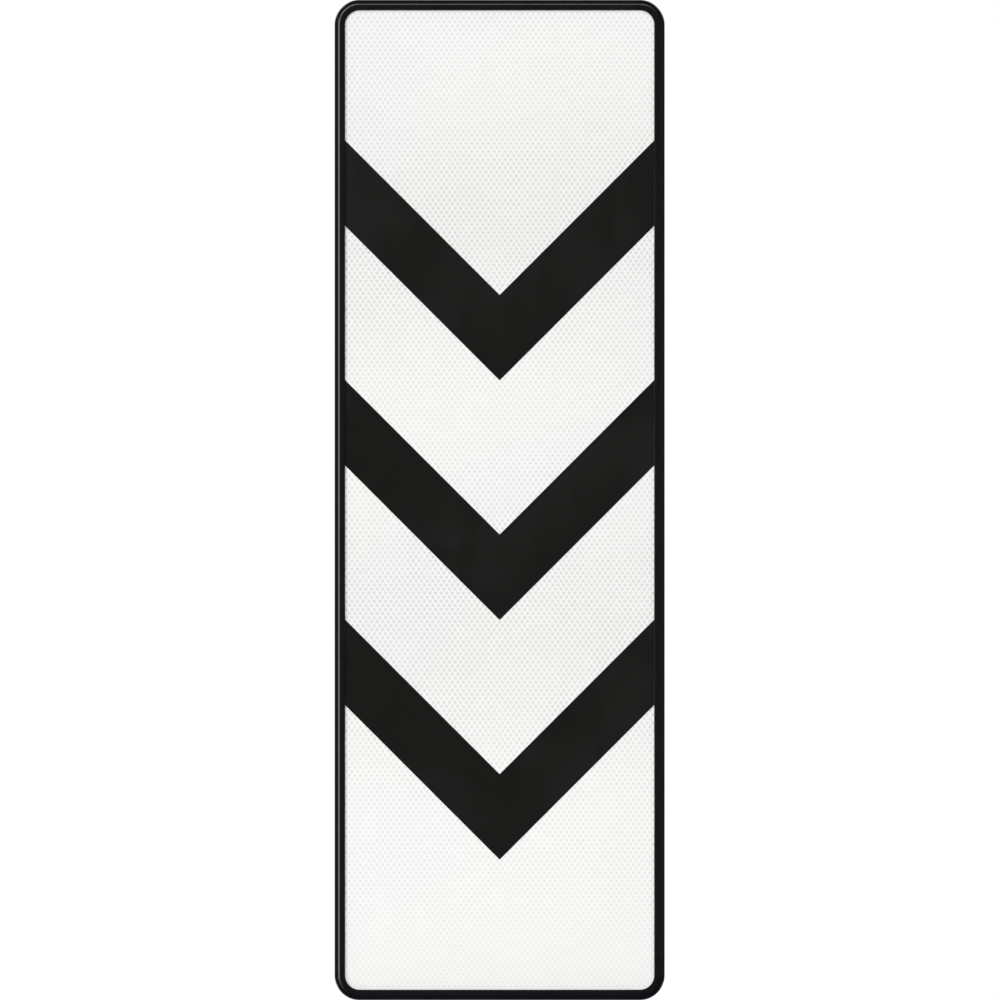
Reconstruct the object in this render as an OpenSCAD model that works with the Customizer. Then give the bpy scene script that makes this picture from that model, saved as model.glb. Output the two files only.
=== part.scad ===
// Chevron sign: a framed reflective panel with two rear rails and two post clamps.
// The origin is on the axis of the post, level with the middle of the sign.
// The face looks along -Y, the post stands along Z, and all lengths are millimetres.

/* [Sign] */
// Overall width of the sign
sign_w = 330; // [280:1:600]
// Overall height of the sign
sign_h = 1000; // [840:1:1600]
// Outer radius of the four corners
corner_r = 25; // [20:0.5:60]

/* [Chevrons] */
// Slope of the chevron arms, in degrees from the horizontal
chevron_slope = 45; // [30:1:48]
// Height of the black band, measured straight down
chevron_band_h = 85.5; // [30:0.5:120]
// White left clear above the first chevron and below the last, inside the rim
chevron_margin = 130; // [40:1:170]

/* [Face layers] */
// Thickness of the aluminium face plate
plate_t = 2; // [1.5:0.1:3.5]
// Thickness of the white reflective sheet
sheet_t = 0.4; // [0.2:0.05:0.6]
// Thickness of the black chevron film
film_t = 0.2; // [0.1:0.05:0.4]

/* [Edge profile] */
// Width of the front lip that frames the face
rim_w = 10.5; // [8:0.25:12]
// Radius of the outer front edge
rim_round = 6.5; // [3:0.25:7]
// Thickness of the front lip
lip_t = 2; // [1.6:0.1:3]
// Depth of the profile, front to back
profile_depth = 18; // [15:0.5:30]
// Wall thickness of the hollow box behind the plate
profile_wall = 2; // [1.4:0.1:2.4]
// Width of the hollow box behind the plate
box_w = 12.5; // [11:0.25:16]
// Width of the rear flange beyond the box
flange_w = 11.5; // [9:0.25:16]
// Distance from the outer face of the frame to the edge of the plate
plate_inset = 4; // [3.6:0.1:5]
// Length of the corner tongues that plug into the profiles
tongue_len = 25; // [16:0.5:40]

/* [Rails] */
// Height of the rail across its open side
rail_w = 28; // [26:0.5:41]
// Depth of the rail, front to back
rail_depth = 15; // [14:0.5:22]
// Wall thickness of the rail
rail_wall = 2.2; // [1.6:0.1:2.6]
// Width of the slot along the rail
rail_slot = 12; // [10:0.5:14]
// Distance from the top or bottom edge of the sign to the middle of the nearest rail
rail_end = 200; // [80:1:300]
// Distance from the outer face of the frame to the end of a rail
rail_inset = 14; // [13:0.25:16]

/* [Post clamps] */
// Outer diameter of the post that the clamps hold
post_d = 48.3; // [33.7:0.1:76.1]
// Height of the clamps along the post
clamp_w = 30; // [24:1:50]
// Thickness of the strap
strap_t = 3; // [2:0.25:5]
// Inside radius of the bend between strap and ear
strap_bend_r = 3; // [2:0.25:5]
// Thickness of the saddle under the post
saddle_floor = 4; // [3:0.25:8]
// Thickness of the saddle base at the bolts
saddle_base_t = 5; // [4:0.25:8]
// Gap between saddle and ears when clamped, for the nuts to draw on
clamp_gap = 5; // [3:0.25:8]
// Length of ear beyond the middle of the bolt
ear_end = 12; // [9.5:0.25:16]

/* [Fasteners] */
// Diameter of the clamp bolts
bolt_d = 8; // [6:0.5:8]
// Length of a clamp bolt under its head
bolt_len = 40; // [38:1:60]
// Thickness of the bolt head inside the rail
bolt_head_t = 4; // [3:0.25:6]
// Width of the bolt head along the rail
bolt_head_w = 10.5; // [8:0.25:12]
// Outer diameter of the washers
washer_d = 16; // [15:0.5:18]
// Thickness of the washers
washer_t = 1.6; // [1:0.1:2.5]
// Width of the nuts across their flats
nut_af = 13; // [12:0.25:13]
// Full height of a nut with its lock collar
nut_h = 8; // [6:0.25:9]
// Height of the lock collar on a nut
nut_collar_h = 1.8; // [1:0.1:2.5]
// Diameter of the rivets that hold the rails
rail_rivet_d = 4.8; // [3.2:0.1:5]
// Diameter of the rivets that hold the corners
corner_rivet_d = 3.2; // [2.4:0.1:4]
// Diameter of the drain holes in the bottom profile
drain_d = 5; // [3:0.25:6]

/* [Hidden] */
$fn = 96;

// Overrun of every cut past the surface that it opens
cut_over = 1;

// Clearances
post_clear = 0.1;       // post in its clamp, on the radius
slide_clear = 0.1;      // saddle and bolt head on the rail
slot_clear = 0.1;       // face layers in the slot of the profile, each side
edge_clear = 0.3;       // edge of the plate to the floor of that slot
tongue_clear = 0.15;    // corner tongue in the profile, each side
rivet_clear = 0.05;     // rivet in its hole, on the radius
bolt_clear = 0.5;       // bolt through saddle and strap, on the radius
washer_clear = 0.2;     // bolt through a washer, on the radius
thread_clear = 0.05;    // bolt through a nut, on the radius
key_clear = 0.25;       // saddle key in the rail slot, each side
head_side_clear = 0.8;  // bolt head in the rail, each side
cradle_clear = 0.5;     // saddle cradle under the ears of the strap
spanner_gap = 0.75;     // washer to the bend of the strap
mitre_gap = 0.5;        // rear flanges to each other at a corner

// Small roundings
lip_round = 0.3;        // inner edge of the front lip
back_round = 1;         // outer rear edge of the profile
rail_round = 1.2;       // outer edges of the rail
ear_round = 5;          // plan corners of strap and saddle

// Small sizes of the fasteners and the saddle
bolt_chamfer = 0.9;             // end of a bolt
key_depth_share = 0.7;          // saddle key in the thickness of the rail lip
horn_t = 5;                     // saddle horn beside the post
horn_foot = 3.5;                // spread of the horn at its foot
nut_corner_share = 0.94;        // flat top of a nut in its width across corners
nut_chamfer_share = 0.12;       // height of the corner chamfer in the hex height
collar_share = 0.86;            // lock collar in the width across flats
rivet_head_share = 1.95;        // rivet head diameter in shank diameters
rivet_dome_share = 0.34;        // rivet head height in shank diameters
rivet_dimple_share = 0.5;       // mandrel dimple diameter in shank diameters
rivet_dimple_depth_share = 0.6; // mandrel dimple depth in the head height
rivet_bulb_share = 1.45;        // blind bulb diameter in shank diameters
rivet_bulb_h_share = 1.1;       // blind bulb height in shank diameters
corner_rivet_len_share = 0.75;  // shank of a corner rivet in the depth of the tongue
drain_place_share = 0.3;        // drain hole from the middle, in the length of the bottom profile

// Places along Y, from the post out to the face
bore_r = post_d / 2 + post_clear;
saddle_back_y = -bore_r - saddle_floor;
saddle_base_y = saddle_back_y + saddle_base_t;
rail_face_y = saddle_back_y - slide_clear;
rail_seat_y = rail_face_y - rail_depth;
front_y = rail_seat_y - profile_depth;
film_y = front_y + lip_t + slot_clear;
sheet_y = film_y + film_t;
plate_y = sheet_y + sheet_t;

// Edge profile, from the outer face inwards and from the front backwards
slot_w = film_t + sheet_t + plate_t + 2 * slot_clear;
slot_floor = plate_inset - edge_clear;
box_front = lip_t + slot_w;
chamber_front = box_front + profile_wall;
chamber_back = profile_depth - profile_wall;
chamber_w = box_w - 2 * profile_wall;
flange_reach = box_w + flange_w;
flange_cut = max(0, flange_reach + mitre_gap - corner_r);
side_len = sign_h - 2 * corner_r;
end_len = sign_w - 2 * corner_r;

// Face outline and chevrons
plate_w = sign_w - 2 * plate_inset;
plate_h = sign_h - 2 * plate_inset;
plate_r = corner_r - plate_inset;
window_w = sign_w - 2 * rim_w;
window_h = sign_h - 2 * rim_w;
vee_h = window_w / 2 * tan(chevron_slope);
chevron_step = (window_h - 2 * chevron_margin - vee_h - chevron_band_h) / 2;
first_notch_z = window_h / 2 - chevron_margin - vee_h;

// Rails and clamps
rail_len = sign_w - 2 * rail_inset;
rail_z = sign_h / 2 - rail_end;
rail_rivet_x = sign_w / 2 - (rail_inset + flange_reach) / 2;
bolt_x = bore_r + strap_t + strap_bend_r + washer_d / 2 + spanner_gap;
clamp_half = bolt_x + ear_end;
ear_y = saddle_base_y + clamp_gap;
bend_y = ear_y + strap_t + strap_bend_r;
cradle_y = ear_y - cradle_clear;
seat_half = sqrt(bore_r * bore_r - cradle_y * cradle_y);
washer_y = ear_y + strap_t;
nut_y = washer_y + washer_t;
bolt_head_y = rail_face_y - rail_wall - slide_clear;
tongue_depth = chamber_back - chamber_front - 2 * tongue_clear;
corner_rivet_len = profile_wall + tongue_clear + tongue_depth * corner_rivet_len_share;

// Flat rectangle with round corners, about its middle
module round_rect(w, h, r) {
    square([w - 2 * r, h], center = true);
    square([w, h - 2 * r], center = true);
    for (x = [-1, 1], y = [-1, 1])
        translate([x * (w / 2 - r), y * (h / 2 - r)]) circle(r);
}

// Puts a flat outline drawn in X and Z upright at y, and gives it a thickness towards +Y
module upright(y, thickness) {
    translate([0, y + thickness, 0]) rotate([90, 0, 0]) linear_extrude(thickness) children();
}

// Cylinder along +Y that starts at y = 0
module rod(r, length) {
    rotate([-90, 0, 0]) cylinder(r = r, h = length);
}

// Face layers

module face_outline() {
    round_rect(plate_w, plate_h, plate_r);
}

module face_plate() {
    color("lightgray") upright(plate_y, plate_t) face_outline();
}

module reflective_sheet() {
    color("whitesmoke") upright(sheet_y, sheet_t) face_outline();
}

// One chevron, whose upper notch lies at notch_z on the middle line
module chevron(notch_z) {
    half = plate_w / 2;
    rise = half * tan(chevron_slope);
    color("#1e1e1c") upright(film_y, film_t) intersection() {
        face_outline();
        polygon([
            [0, notch_z], [half, notch_z + rise], [half, notch_z + rise - chevron_band_h],
            [0, notch_z - chevron_band_h], [-half, notch_z + rise - chevron_band_h], [-half, notch_z + rise]
        ]);
    }
}

module chevron_upper() { chevron(first_notch_z); }
module chevron_middle() { chevron(first_notch_z - chevron_step); }
module chevron_lower() { chevron(first_notch_z - 2 * chevron_step); }

// Edge profile

// Quarter disc that fills a square corner at the origin, rounded towards the origin
module round_corner(r) {
    intersection() {
        translate([r, r]) circle(r);
        square(r);
    }
}

// Outer form of the profile: X runs inwards from the outer face, Y runs back from the front
module profile_form() {
    difference() {
        square([box_w, profile_depth]);
        square(rim_round);
        translate([0, profile_depth - back_round]) square(back_round);
        translate([rim_w - lip_round, -cut_over]) square([box_w, lip_round + cut_over]);
        translate([rim_w, -cut_over]) square([box_w, box_front + cut_over]);
    }
    round_corner(rim_round);
    translate([0, profile_depth]) mirror([0, 1]) round_corner(back_round);
    translate([rim_w, 0]) mirror([1, 0]) round_corner(lip_round);
}

// Profile with the slot for the face layers, and no chamber
module slotted_form() {
    difference() {
        profile_form();
        translate([slot_floor, lip_t]) square([box_w, slot_w]);
    }
}

module profile_section() {
    difference() {
        slotted_form();
        translate([profile_wall, chamber_front]) square([chamber_w, chamber_back - chamber_front]);
    }
}

module tongue_section() {
    translate([profile_wall + tongue_clear, chamber_front + tongue_clear])
        square([chamber_w - 2 * tongue_clear, tongue_depth]);
}

// Straight length of a flat section, upright and centred, with its outer face at x = 0
module length_of(length) {
    translate([0, front_y, -length / 2]) linear_extrude(length) children();
}

// Straight profile with its rear flange
module straight_profile(length) {
    length_of(length) profile_section();
    length_of(length - 2 * flange_cut)
        translate([box_w - profile_wall, chamber_back]) square([flange_w + profile_wall, profile_wall]);
}

// Puts a length that stands along Z on the left edge, or lays it along the top edge
module at_left() { translate([-sign_w / 2, 0, 0]) children(); }
module at_top() { translate([0, 0, sign_h / 2]) rotate([0, 90, 0]) children(); }

// Repeats a shape at the middle of every corner tongue, on the back of the frame
module at_corner_rivets() {
    along_side = side_len / 2 - tongue_len / 2;
    along_end = end_len / 2 - tongue_len / 2;
    for (x = [-1, 1], z = [-1, 1]) {
        translate([x * (sign_w / 2 - box_w / 2), rail_seat_y, z * along_side]) children();
        translate([x * along_end, rail_seat_y, z * (sign_h / 2 - box_w / 2)]) children();
    }
}

module corner_rivet_hole() {
    translate([0, -corner_rivet_len, 0]) rod(corner_rivet_d / 2 + rivet_clear, corner_rivet_len + cut_over);
}

module rail_rivet_hole() {
    translate([0, -profile_wall - cut_over, 0])
        rod(rail_rivet_d / 2 + rivet_clear, profile_wall + rail_wall + 2 * cut_over);
}

// Repeats a shape at both ends of both rails, on the seat of the rail
module at_rail_rivets() {
    for (x = [-1, 1], z = [-1, 1])
        translate([x * rail_rivet_x, rail_seat_y, z * rail_z]) children();
}

module side_profile() {
    color("#1a1b1f") difference() {
        at_left() straight_profile(side_len);
        at_corner_rivets() corner_rivet_hole();
        at_rail_rivets() rail_rivet_hole();
    }
}

module end_profile() {
    color("#1a1b1f") difference() {
        at_top() straight_profile(end_len);
        at_corner_rivets() corner_rivet_hole();
    }
}

module left_edge_profile() { side_profile(); }
module right_edge_profile() { mirror([1, 0, 0]) side_profile(); }
module top_edge_profile() { end_profile(); }

module bottom_edge_profile() {
    color("#1a1b1f") difference() {
        mirror([0, 0, 1]) end_profile();
        for (x = [-1, 1])
            translate([x * end_len * drain_place_share, front_y + (chamber_front + chamber_back) / 2,
                    -sign_h / 2 - cut_over])
                cylinder(d = drain_d, h = profile_wall + 2 * cut_over);
    }
}

// Flat form of the rear flange at the upper left corner, where it joins the flanges of both profiles
module corner_flange() {
    translate([-sign_w / 2, sign_h / 2]) mirror([0, 1]) difference() {
        intersection() {
            translate([corner_r, corner_r]) circle(corner_r - profile_wall);
            square(corner_r);
        }
        translate([flange_reach, flange_reach]) square(corner_r);
    }
}

// Upper left corner: a quarter turn of the slotted form, with a rear flange and a tongue for each profile
module corner_piece() {
    color("#17181b") difference() {
        union() {
            translate([-sign_w / 2 + corner_r, front_y, sign_h / 2 - corner_r])
                mirror([1, 0, 0]) mirror([0, 0, 1]) rotate([-90, 0, 0]) rotate_extrude(angle = 90)
                    translate([corner_r, 0]) mirror([1, 0]) slotted_form();
            upright(front_y + chamber_back, profile_wall) corner_flange();
            at_left() translate([0, 0, side_len / 2 - tongue_len / 2])
                length_of(tongue_len) tongue_section();
            at_top() translate([0, 0, -end_len / 2 + tongue_len / 2])
                length_of(tongue_len) tongue_section();
        }
        at_corner_rivets() corner_rivet_hole();
    }
}

module corner_top_left() { corner_piece(); }
module corner_top_right() { mirror([1, 0, 0]) corner_piece(); }
module corner_bottom_left() { mirror([0, 0, 1]) corner_piece(); }
module corner_bottom_right() { mirror([0, 0, 1]) mirror([1, 0, 0]) corner_piece(); }

// Domed rivet head on the plane y = 0, with the dimple that its mandrel leaves
module rivet_head(d) {
    head_r = d * rivet_head_share / 2;
    head_h = d * rivet_dome_share;
    dome_r = (head_r * head_r + head_h * head_h) / (2 * head_h);
    difference() {
        intersection() {
            rod(head_r, head_h);
            translate([0, head_h - dome_r, 0]) sphere(dome_r);
        }
        translate([0, head_h - head_h * rivet_dimple_depth_share, 0])
            rod(d * rivet_dimple_share / 2, head_h + cut_over);
    }
}

module corner_rivets() {
    color("#26272b") at_corner_rivets() {
        rivet_head(corner_rivet_d);
        translate([0, -corner_rivet_len, 0]) rod(corner_rivet_d / 2, corner_rivet_len);
    }
}

// Rails

module rail_section() {
    inner_w = rail_w - 2 * rail_wall;
    difference() {
        round_rect(rail_depth, rail_w, rail_round);
        square([rail_depth - 2 * rail_wall, inner_w], center = true);
        translate([0, -rail_slot / 2]) square([rail_depth, rail_slot]);
    }
}

module rail(z) {
    color("silver") difference() {
        translate([-rail_len / 2, rail_seat_y + rail_depth / 2, z])
            rotate([90, 0, 90]) linear_extrude(rail_len) rail_section();
        at_rail_rivets() rail_rivet_hole();
    }
}

module upper_rail() { rail(rail_z); }
module lower_rail() { rail(-rail_z); }

module rail_rivets() {
    grip = rail_wall + profile_wall;
    bulb_h = rail_rivet_d * rivet_bulb_h_share;
    color("gainsboro") at_rail_rivets() {
        translate([0, rail_wall, 0]) rivet_head(rail_rivet_d);
        translate([0, -profile_wall, 0]) rod(rail_rivet_d / 2, grip);
        translate([0, -profile_wall - bulb_h, 0]) rod(rail_rivet_d * rivet_bulb_share / 2, bulb_h);
    }
}

// Post clamps

module at_bolts(z) {
    for (x = [-1, 1]) translate([x * bolt_x, 0, z]) children();
}

// Keeps the plan of saddle and strap to one outline with round corners
module clamp_plan(z) {
    depth = 2 * (bore_r + strap_t + saddle_floor + rail_depth);
    translate([0, -depth / 2, z]) upright(0, depth) round_rect(2 * clamp_half, clamp_w, ear_round);
}

module saddle_form() {
    translate([-clamp_half, saddle_back_y]) square([2 * clamp_half, saddle_base_t]);
    polygon([
        [-seat_half - horn_t - horn_foot, saddle_base_y], [-seat_half - horn_t, cradle_y],
        [seat_half + horn_t, cradle_y], [seat_half + horn_t + horn_foot, saddle_base_y],
        [seat_half, saddle_back_y], [-seat_half, saddle_back_y]
    ]);
}

// Lower half of a clamp: it rides on the rail with a key in the slot, and cradles the post
module clamp_saddle(z) {
    key_depth = rail_wall * key_depth_share;
    color("darkgray") difference() {
        union() {
            intersection() {
                translate([0, 0, z - clamp_w / 2]) linear_extrude(clamp_w) difference() {
                    saddle_form();
                    circle(bore_r);
                }
                clamp_plan(z);
            }
            translate([-clamp_half, saddle_back_y - key_depth, z - rail_slot / 2 + key_clear])
                cube([2 * clamp_half, key_depth + saddle_floor / 2, rail_slot - 2 * key_clear]);
        }
        at_bolts(z) translate([0, saddle_back_y - key_depth - cut_over, 0])
            rod(bolt_d / 2 + bolt_clear, key_depth + saddle_base_t + 2 * cut_over);
    }
}

// Right-hand half of the strap: arch, leg, bend and ear
module strap_half() {
    bend_x = bore_r + strap_t + strap_bend_r;
    intersection() {
        difference() {
            circle(bore_r + strap_t);
            circle(bore_r);
        }
        square(bore_r + strap_t);
    }
    translate([bore_r, bend_y]) square([strap_t, -bend_y]);
    translate([bend_x, ear_y]) square([clamp_half - bend_x, strap_t]);
    translate([bend_x, bend_y]) intersection() {
        difference() {
            circle(strap_bend_r + strap_t);
            circle(strap_bend_r);
        }
        mirror([1, 1]) square(strap_bend_r + strap_t);
    }
}

module clamp_strap(z) {
    color("lightslategray") difference() {
        intersection() {
            translate([0, 0, z - clamp_w / 2]) linear_extrude(clamp_w) {
                strap_half();
                mirror([1, 0]) strap_half();
            }
            clamp_plan(z);
        }
        at_bolts(z) translate([0, ear_y - cut_over, 0])
            rod(bolt_d / 2 + bolt_clear, strap_t + 2 * cut_over);
    }
}

// Hammer-head bolts: the head lies across the inside of the rail
module clamp_bolts(z) {
    head_len = rail_w - 2 * rail_wall - 2 * head_side_clear;
    color("gainsboro") at_bolts(z) translate([0, bolt_head_y, 0]) {
        intersection() {
            translate([-bolt_head_w / 2, -bolt_head_t, -head_len / 2])
                cube([bolt_head_w, bolt_head_t, head_len]);
            translate([0, -bolt_head_t, 0]) rod(head_len / 2, bolt_head_t);
        }
        translate([0, -bolt_head_t / 2, 0]) rod(bolt_d / 2, bolt_head_t / 2 + bolt_len - bolt_chamfer);
        translate([0, bolt_len - bolt_chamfer, 0]) rotate([-90, 0, 0])
            cylinder(r1 = bolt_d / 2, r2 = bolt_d / 2 - bolt_chamfer, h = bolt_chamfer);
    }
}

module clamp_washers(z) {
    color("gainsboro") at_bolts(z) translate([0, washer_y, 0]) difference() {
        rod(washer_d / 2, washer_t);
        translate([0, -cut_over, 0]) rod(bolt_d / 2 + washer_clear, washer_t + 2 * cut_over);
    }
}

// Lock nut: a hexagon with its outer corners chamfered, and a round collar that grips the thread
module clamp_nut(x, z) {
    hex_h = nut_h - nut_collar_h;
    corner = nut_af / sqrt(3);
    chamfer_h = hex_h * nut_chamfer_share;
    color("gainsboro") translate([x, nut_y, z]) difference() {
        union() {
            rotate([-90, 0, 0]) intersection() {
                cylinder(r = corner, h = hex_h, $fn = 6);
                union() {
                    cylinder(r = corner, h = hex_h - chamfer_h);
                    translate([0, 0, hex_h - chamfer_h])
                        cylinder(r1 = corner, r2 = corner * nut_corner_share, h = chamfer_h);
                }
            }
            rod(nut_af * collar_share / 2, nut_h);
        }
        translate([0, -cut_over, 0]) rod(bolt_d / 2 + thread_clear, nut_h + 2 * cut_over);
    }
}

module upper_clamp_saddle() { clamp_saddle(rail_z); }
module upper_clamp_bolts() { clamp_bolts(rail_z); }
module upper_clamp_strap() { clamp_strap(rail_z); }
module upper_clamp_washers() { clamp_washers(rail_z); }
module upper_clamp_left_nut() { clamp_nut(-bolt_x, rail_z); }
module upper_clamp_right_nut() { clamp_nut(bolt_x, rail_z); }
module lower_clamp_saddle() { clamp_saddle(-rail_z); }
module lower_clamp_bolts() { clamp_bolts(-rail_z); }
module lower_clamp_strap() { clamp_strap(-rail_z); }
module lower_clamp_washers() { clamp_washers(-rail_z); }
module lower_clamp_left_nut() { clamp_nut(-bolt_x, -rail_z); }
module lower_clamp_right_nut() { clamp_nut(bolt_x, -rail_z); }

face_plate();
reflective_sheet();
chevron_upper();
chevron_middle();
chevron_lower();
left_edge_profile();
right_edge_profile();
top_edge_profile();
bottom_edge_profile();
corner_top_left();
corner_top_right();
corner_bottom_left();
corner_bottom_right();
corner_rivets();
upper_rail();
lower_rail();
rail_rivets();
upper_clamp_saddle();
upper_clamp_bolts();
upper_clamp_strap();
upper_clamp_washers();
upper_clamp_left_nut();
upper_clamp_right_nut();
lower_clamp_saddle();
lower_clamp_bolts();
lower_clamp_strap();
lower_clamp_washers();
lower_clamp_left_nut();
lower_clamp_right_nut();
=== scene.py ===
# %% [markdown]
# # A chevron sign, dressed in Blender
# The object is a road sign: a tall white reflective panel with three black chevrons, held in a black
# edge profile, with two slotted rails and two post clamps behind it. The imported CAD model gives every
# size and place. This notebook loads it as a fixed frame, then makes a finer piece for each solid whose
# edges, threads or surface the plain solid can't show.

# %% Load the frame
import math

import bmesh
import bpy
from mathutils import Matrix, Vector


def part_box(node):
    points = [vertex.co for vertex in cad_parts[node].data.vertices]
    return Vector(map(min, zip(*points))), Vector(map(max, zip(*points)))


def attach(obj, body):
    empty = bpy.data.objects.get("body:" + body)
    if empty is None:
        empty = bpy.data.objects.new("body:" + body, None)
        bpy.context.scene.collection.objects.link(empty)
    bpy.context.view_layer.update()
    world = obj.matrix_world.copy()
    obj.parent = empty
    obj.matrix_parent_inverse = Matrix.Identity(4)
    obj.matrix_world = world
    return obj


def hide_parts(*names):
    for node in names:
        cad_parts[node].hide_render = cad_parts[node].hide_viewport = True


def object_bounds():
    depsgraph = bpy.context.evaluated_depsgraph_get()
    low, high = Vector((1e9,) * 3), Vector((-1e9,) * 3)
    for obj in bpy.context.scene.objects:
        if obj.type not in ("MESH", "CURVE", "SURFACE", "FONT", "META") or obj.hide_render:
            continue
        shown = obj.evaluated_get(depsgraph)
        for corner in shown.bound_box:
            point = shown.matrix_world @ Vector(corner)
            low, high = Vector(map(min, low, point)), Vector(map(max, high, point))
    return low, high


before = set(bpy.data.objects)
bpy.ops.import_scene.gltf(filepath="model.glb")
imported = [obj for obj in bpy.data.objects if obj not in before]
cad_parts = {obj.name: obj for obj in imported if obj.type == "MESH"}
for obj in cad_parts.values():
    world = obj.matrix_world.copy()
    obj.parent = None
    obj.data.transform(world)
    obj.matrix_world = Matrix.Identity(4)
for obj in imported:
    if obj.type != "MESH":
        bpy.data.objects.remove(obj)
cad_low, cad_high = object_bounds()
scene = bpy.context.scene
MM = 0.001
print("CAD box, mm:", [round(side / MM, 2) for side in cad_high - cad_low])

# %% [markdown]
# ## Camera
# The picture is a flat, straight-on view, as a long lens far away gives it. An orthographic camera would
# do too, but a long lens keeps a trace of depth. The frame is one metre wide where the profile reaches its
# full width, a little behind the front, so one pixel of the 1000-pixel picture is one millimetre.

# %% Camera
RIM_ROUND = 6.5  # radius of the outer front edge, mm
CAMERA_REACH = 30.0  # camera to the sign, m
PICTURE_WIDTH = 0.9997  # width of the picture at the sign, m
AIM_X = 0.35  # the sign lies a trace left of the picture's middle, mm
SENSOR = 36.0  # width of the camera's sensor, mm

camera = bpy.data.objects.new("camera", bpy.data.cameras.new("camera"))
scene.collection.objects.link(camera)
camera.data.sensor_width = SENSOR
camera.data.lens = SENSOR * CAMERA_REACH / PICTURE_WIDTH
camera.location = (AIM_X * MM, cad_low.y + RIM_ROUND * MM - CAMERA_REACH, 0)
camera.rotation_euler = (math.radians(90), 0, 0)
scene.camera = camera
print("lens, mm:", camera.data.lens)

# %% [markdown]
# ## Node helpers
# Shaders, worlds and geometry trees are all made of nodes. One helper adds a node, sets its options and
# fills its inputs, where an input is either a plain value or the output of another node. The others are
# short forms for the nodes that come up most, and they find the tree from the outputs that they are given.

# %% Node helpers
def wire(tree, kind, inputs=None, **options):
    """Adds a node. inputs maps an input's name or number to a value or to another node's output."""
    node = tree.nodes.new(kind)
    for name, value in options.items():
        setattr(node, name, value)
    for key, value in (inputs or {}).items():
        if isinstance(value, bpy.types.NodeSocket):
            tree.links.new(value, node.inputs[key])
        else:
            node.inputs[key].default_value = value
    return node


def tree_of(*values):
    """The tree of the first value that is a node's output."""
    return next(value.id_data for value in values if isinstance(value, bpy.types.NodeSocket))


def maths(operation, *values, clamp=False):
    """A Math node with its values in order; returns its output."""
    return wire(tree_of(*values), "ShaderNodeMath", dict(enumerate(values)), operation=operation,
                use_clamp=clamp).outputs[0]


def times(first, second):
    """The product of two values."""
    return maths("MULTIPLY", first, second)


def vectors(operation, *values):
    """A Vector Math node with its values in order; returns its vector, or its value for a length."""
    node = wire(tree_of(*values), "ShaderNodeVectorMath", dict(enumerate(values)), operation=operation)
    return node.outputs["Value" if operation == "LENGTH" else "Vector"]


def ramp(value, low, high, to_low=0.0, to_high=1.0):
    """A smooth change from to_low to to_high while the value goes from low to high."""
    return wire(tree_of(value), "ShaderNodeMapRange", {0: value, 1: low, 2: high, 3: to_low, 4: to_high},
                interpolation_type="SMOOTHSTEP").outputs[0]


def blend_colours(share, first, second):
    """A Mix node for two colours, each an output or plain (red, green, blue); returns its output."""
    tones = [(*tone[:3], 1) if isinstance(tone, tuple) else tone for tone in (first, second)]
    inputs = {0: share, 6: tones[0], 7: tones[1]}
    return wire(tree_of(share), "ShaderNodeMix", inputs, data_type="RGBA").outputs[2]


def list_helpers(*helpers):
    """Prints the names of the helpers that a cell has made."""
    print("helpers:", [helper.__name__ for helper in helpers])


list_helpers(wire, tree_of, maths, times, vectors, ramp, blend_colours)

# %% [markdown]
# ## Background and light
# The picture has a pure white ground, and yet the glossy black edges stay dark on all sides. One plain
# white world would be simpler, but every glossy edge would mirror it and turn grey. A photographer sets a
# white sweep behind the object and dark flags on all sides of it, and this world does the same: the eye
# sees white, and mirror-like rays see the white sweep behind and the dim room in front. A direction is a
# unit vector, and each pair of values below is where a soft edge starts and ends along one part of it.

# %% Sweep, flags and room
WHITE = (1, 1, 1, 1)  # with its opacity, for a shader's own socket
ROOM = (0.100, 0.102, 0.116)  # dim side of the room, as glossy surfaces see it
COOL_ROOM = (0.075, 0.077, 0.140)  # its lower right side
COOL_EDGE = (-0.6, 0.0)
SWEEP_EDGE = (0.25, 0.45)
SIDE_FLAG_EDGE, SIDE_FLAG_TOP = (0.38, 0.48), (0.15, 0.25)
END_FLAG_EDGE = (0.36, 0.46)  # the flags above and below

world = bpy.data.worlds.new("studio")
scene.world = world
world.use_nodes = True
sky = world.node_tree
sky.nodes.clear()
rays = wire(sky, "ShaderNodeLightPath").outputs
direction = wire(sky, "ShaderNodeTexCoord").outputs["Generated"]
toward = wire(sky, "ShaderNodeSeparateXYZ", {0: direction}).outputs
sideways = maths("ABSOLUTE", toward["X"])
upright = maths("ABSOLUTE", toward["Z"])
side_flags = times(ramp(sideways, *SIDE_FLAG_EDGE), ramp(upright, *SIDE_FLAG_TOP, 1, 0))
flags = maths("MAXIMUM", side_flags, ramp(upright, *END_FLAG_EDGE))
sweep = times(ramp(toward["Y"], *SWEEP_EDGE), maths("SUBTRACT", 1.0, flags))
white_share = maths("MAXIMUM", sweep, rays["Is Camera Ray"])
cornerward = times(maths("SUBTRACT", toward["Z"], toward["X"]), math.sqrt(0.5))
room = blend_colours(ramp(cornerward, *COOL_EDGE, 1, 0), ROOM, COOL_ROOM)
surroundings = blend_colours(white_share, room, WHITE)
print("nodes for the surroundings:", len(sky.nodes))

# %% [markdown]
# A curved strip light at the upper left carries the gloss line round the corner of the rim, from one lamp
# to the other, and its faint ends go on a little way beyond them. A row of lamps could do that, but it
# would light the face as well, so the strip is part of a ring about the camera that only glossy rays see.

# %% Strip light
STRIP = (11, 11, 11)
STRIP_OUTER, STRIP_INNER = (0.66, 0.72), (0.80, 0.86)  # edges of the ring
STRIP_TURN = (0.53, 0.60)  # its main stretch, at the corner
END_TURN, END_SHARE = (-0.12, 0.25), 0.30
BELOW_LEFT_LAMP, BESIDE_TOP_LAMP = (-0.24, -0.14), (0.15, 0.22)

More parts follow.
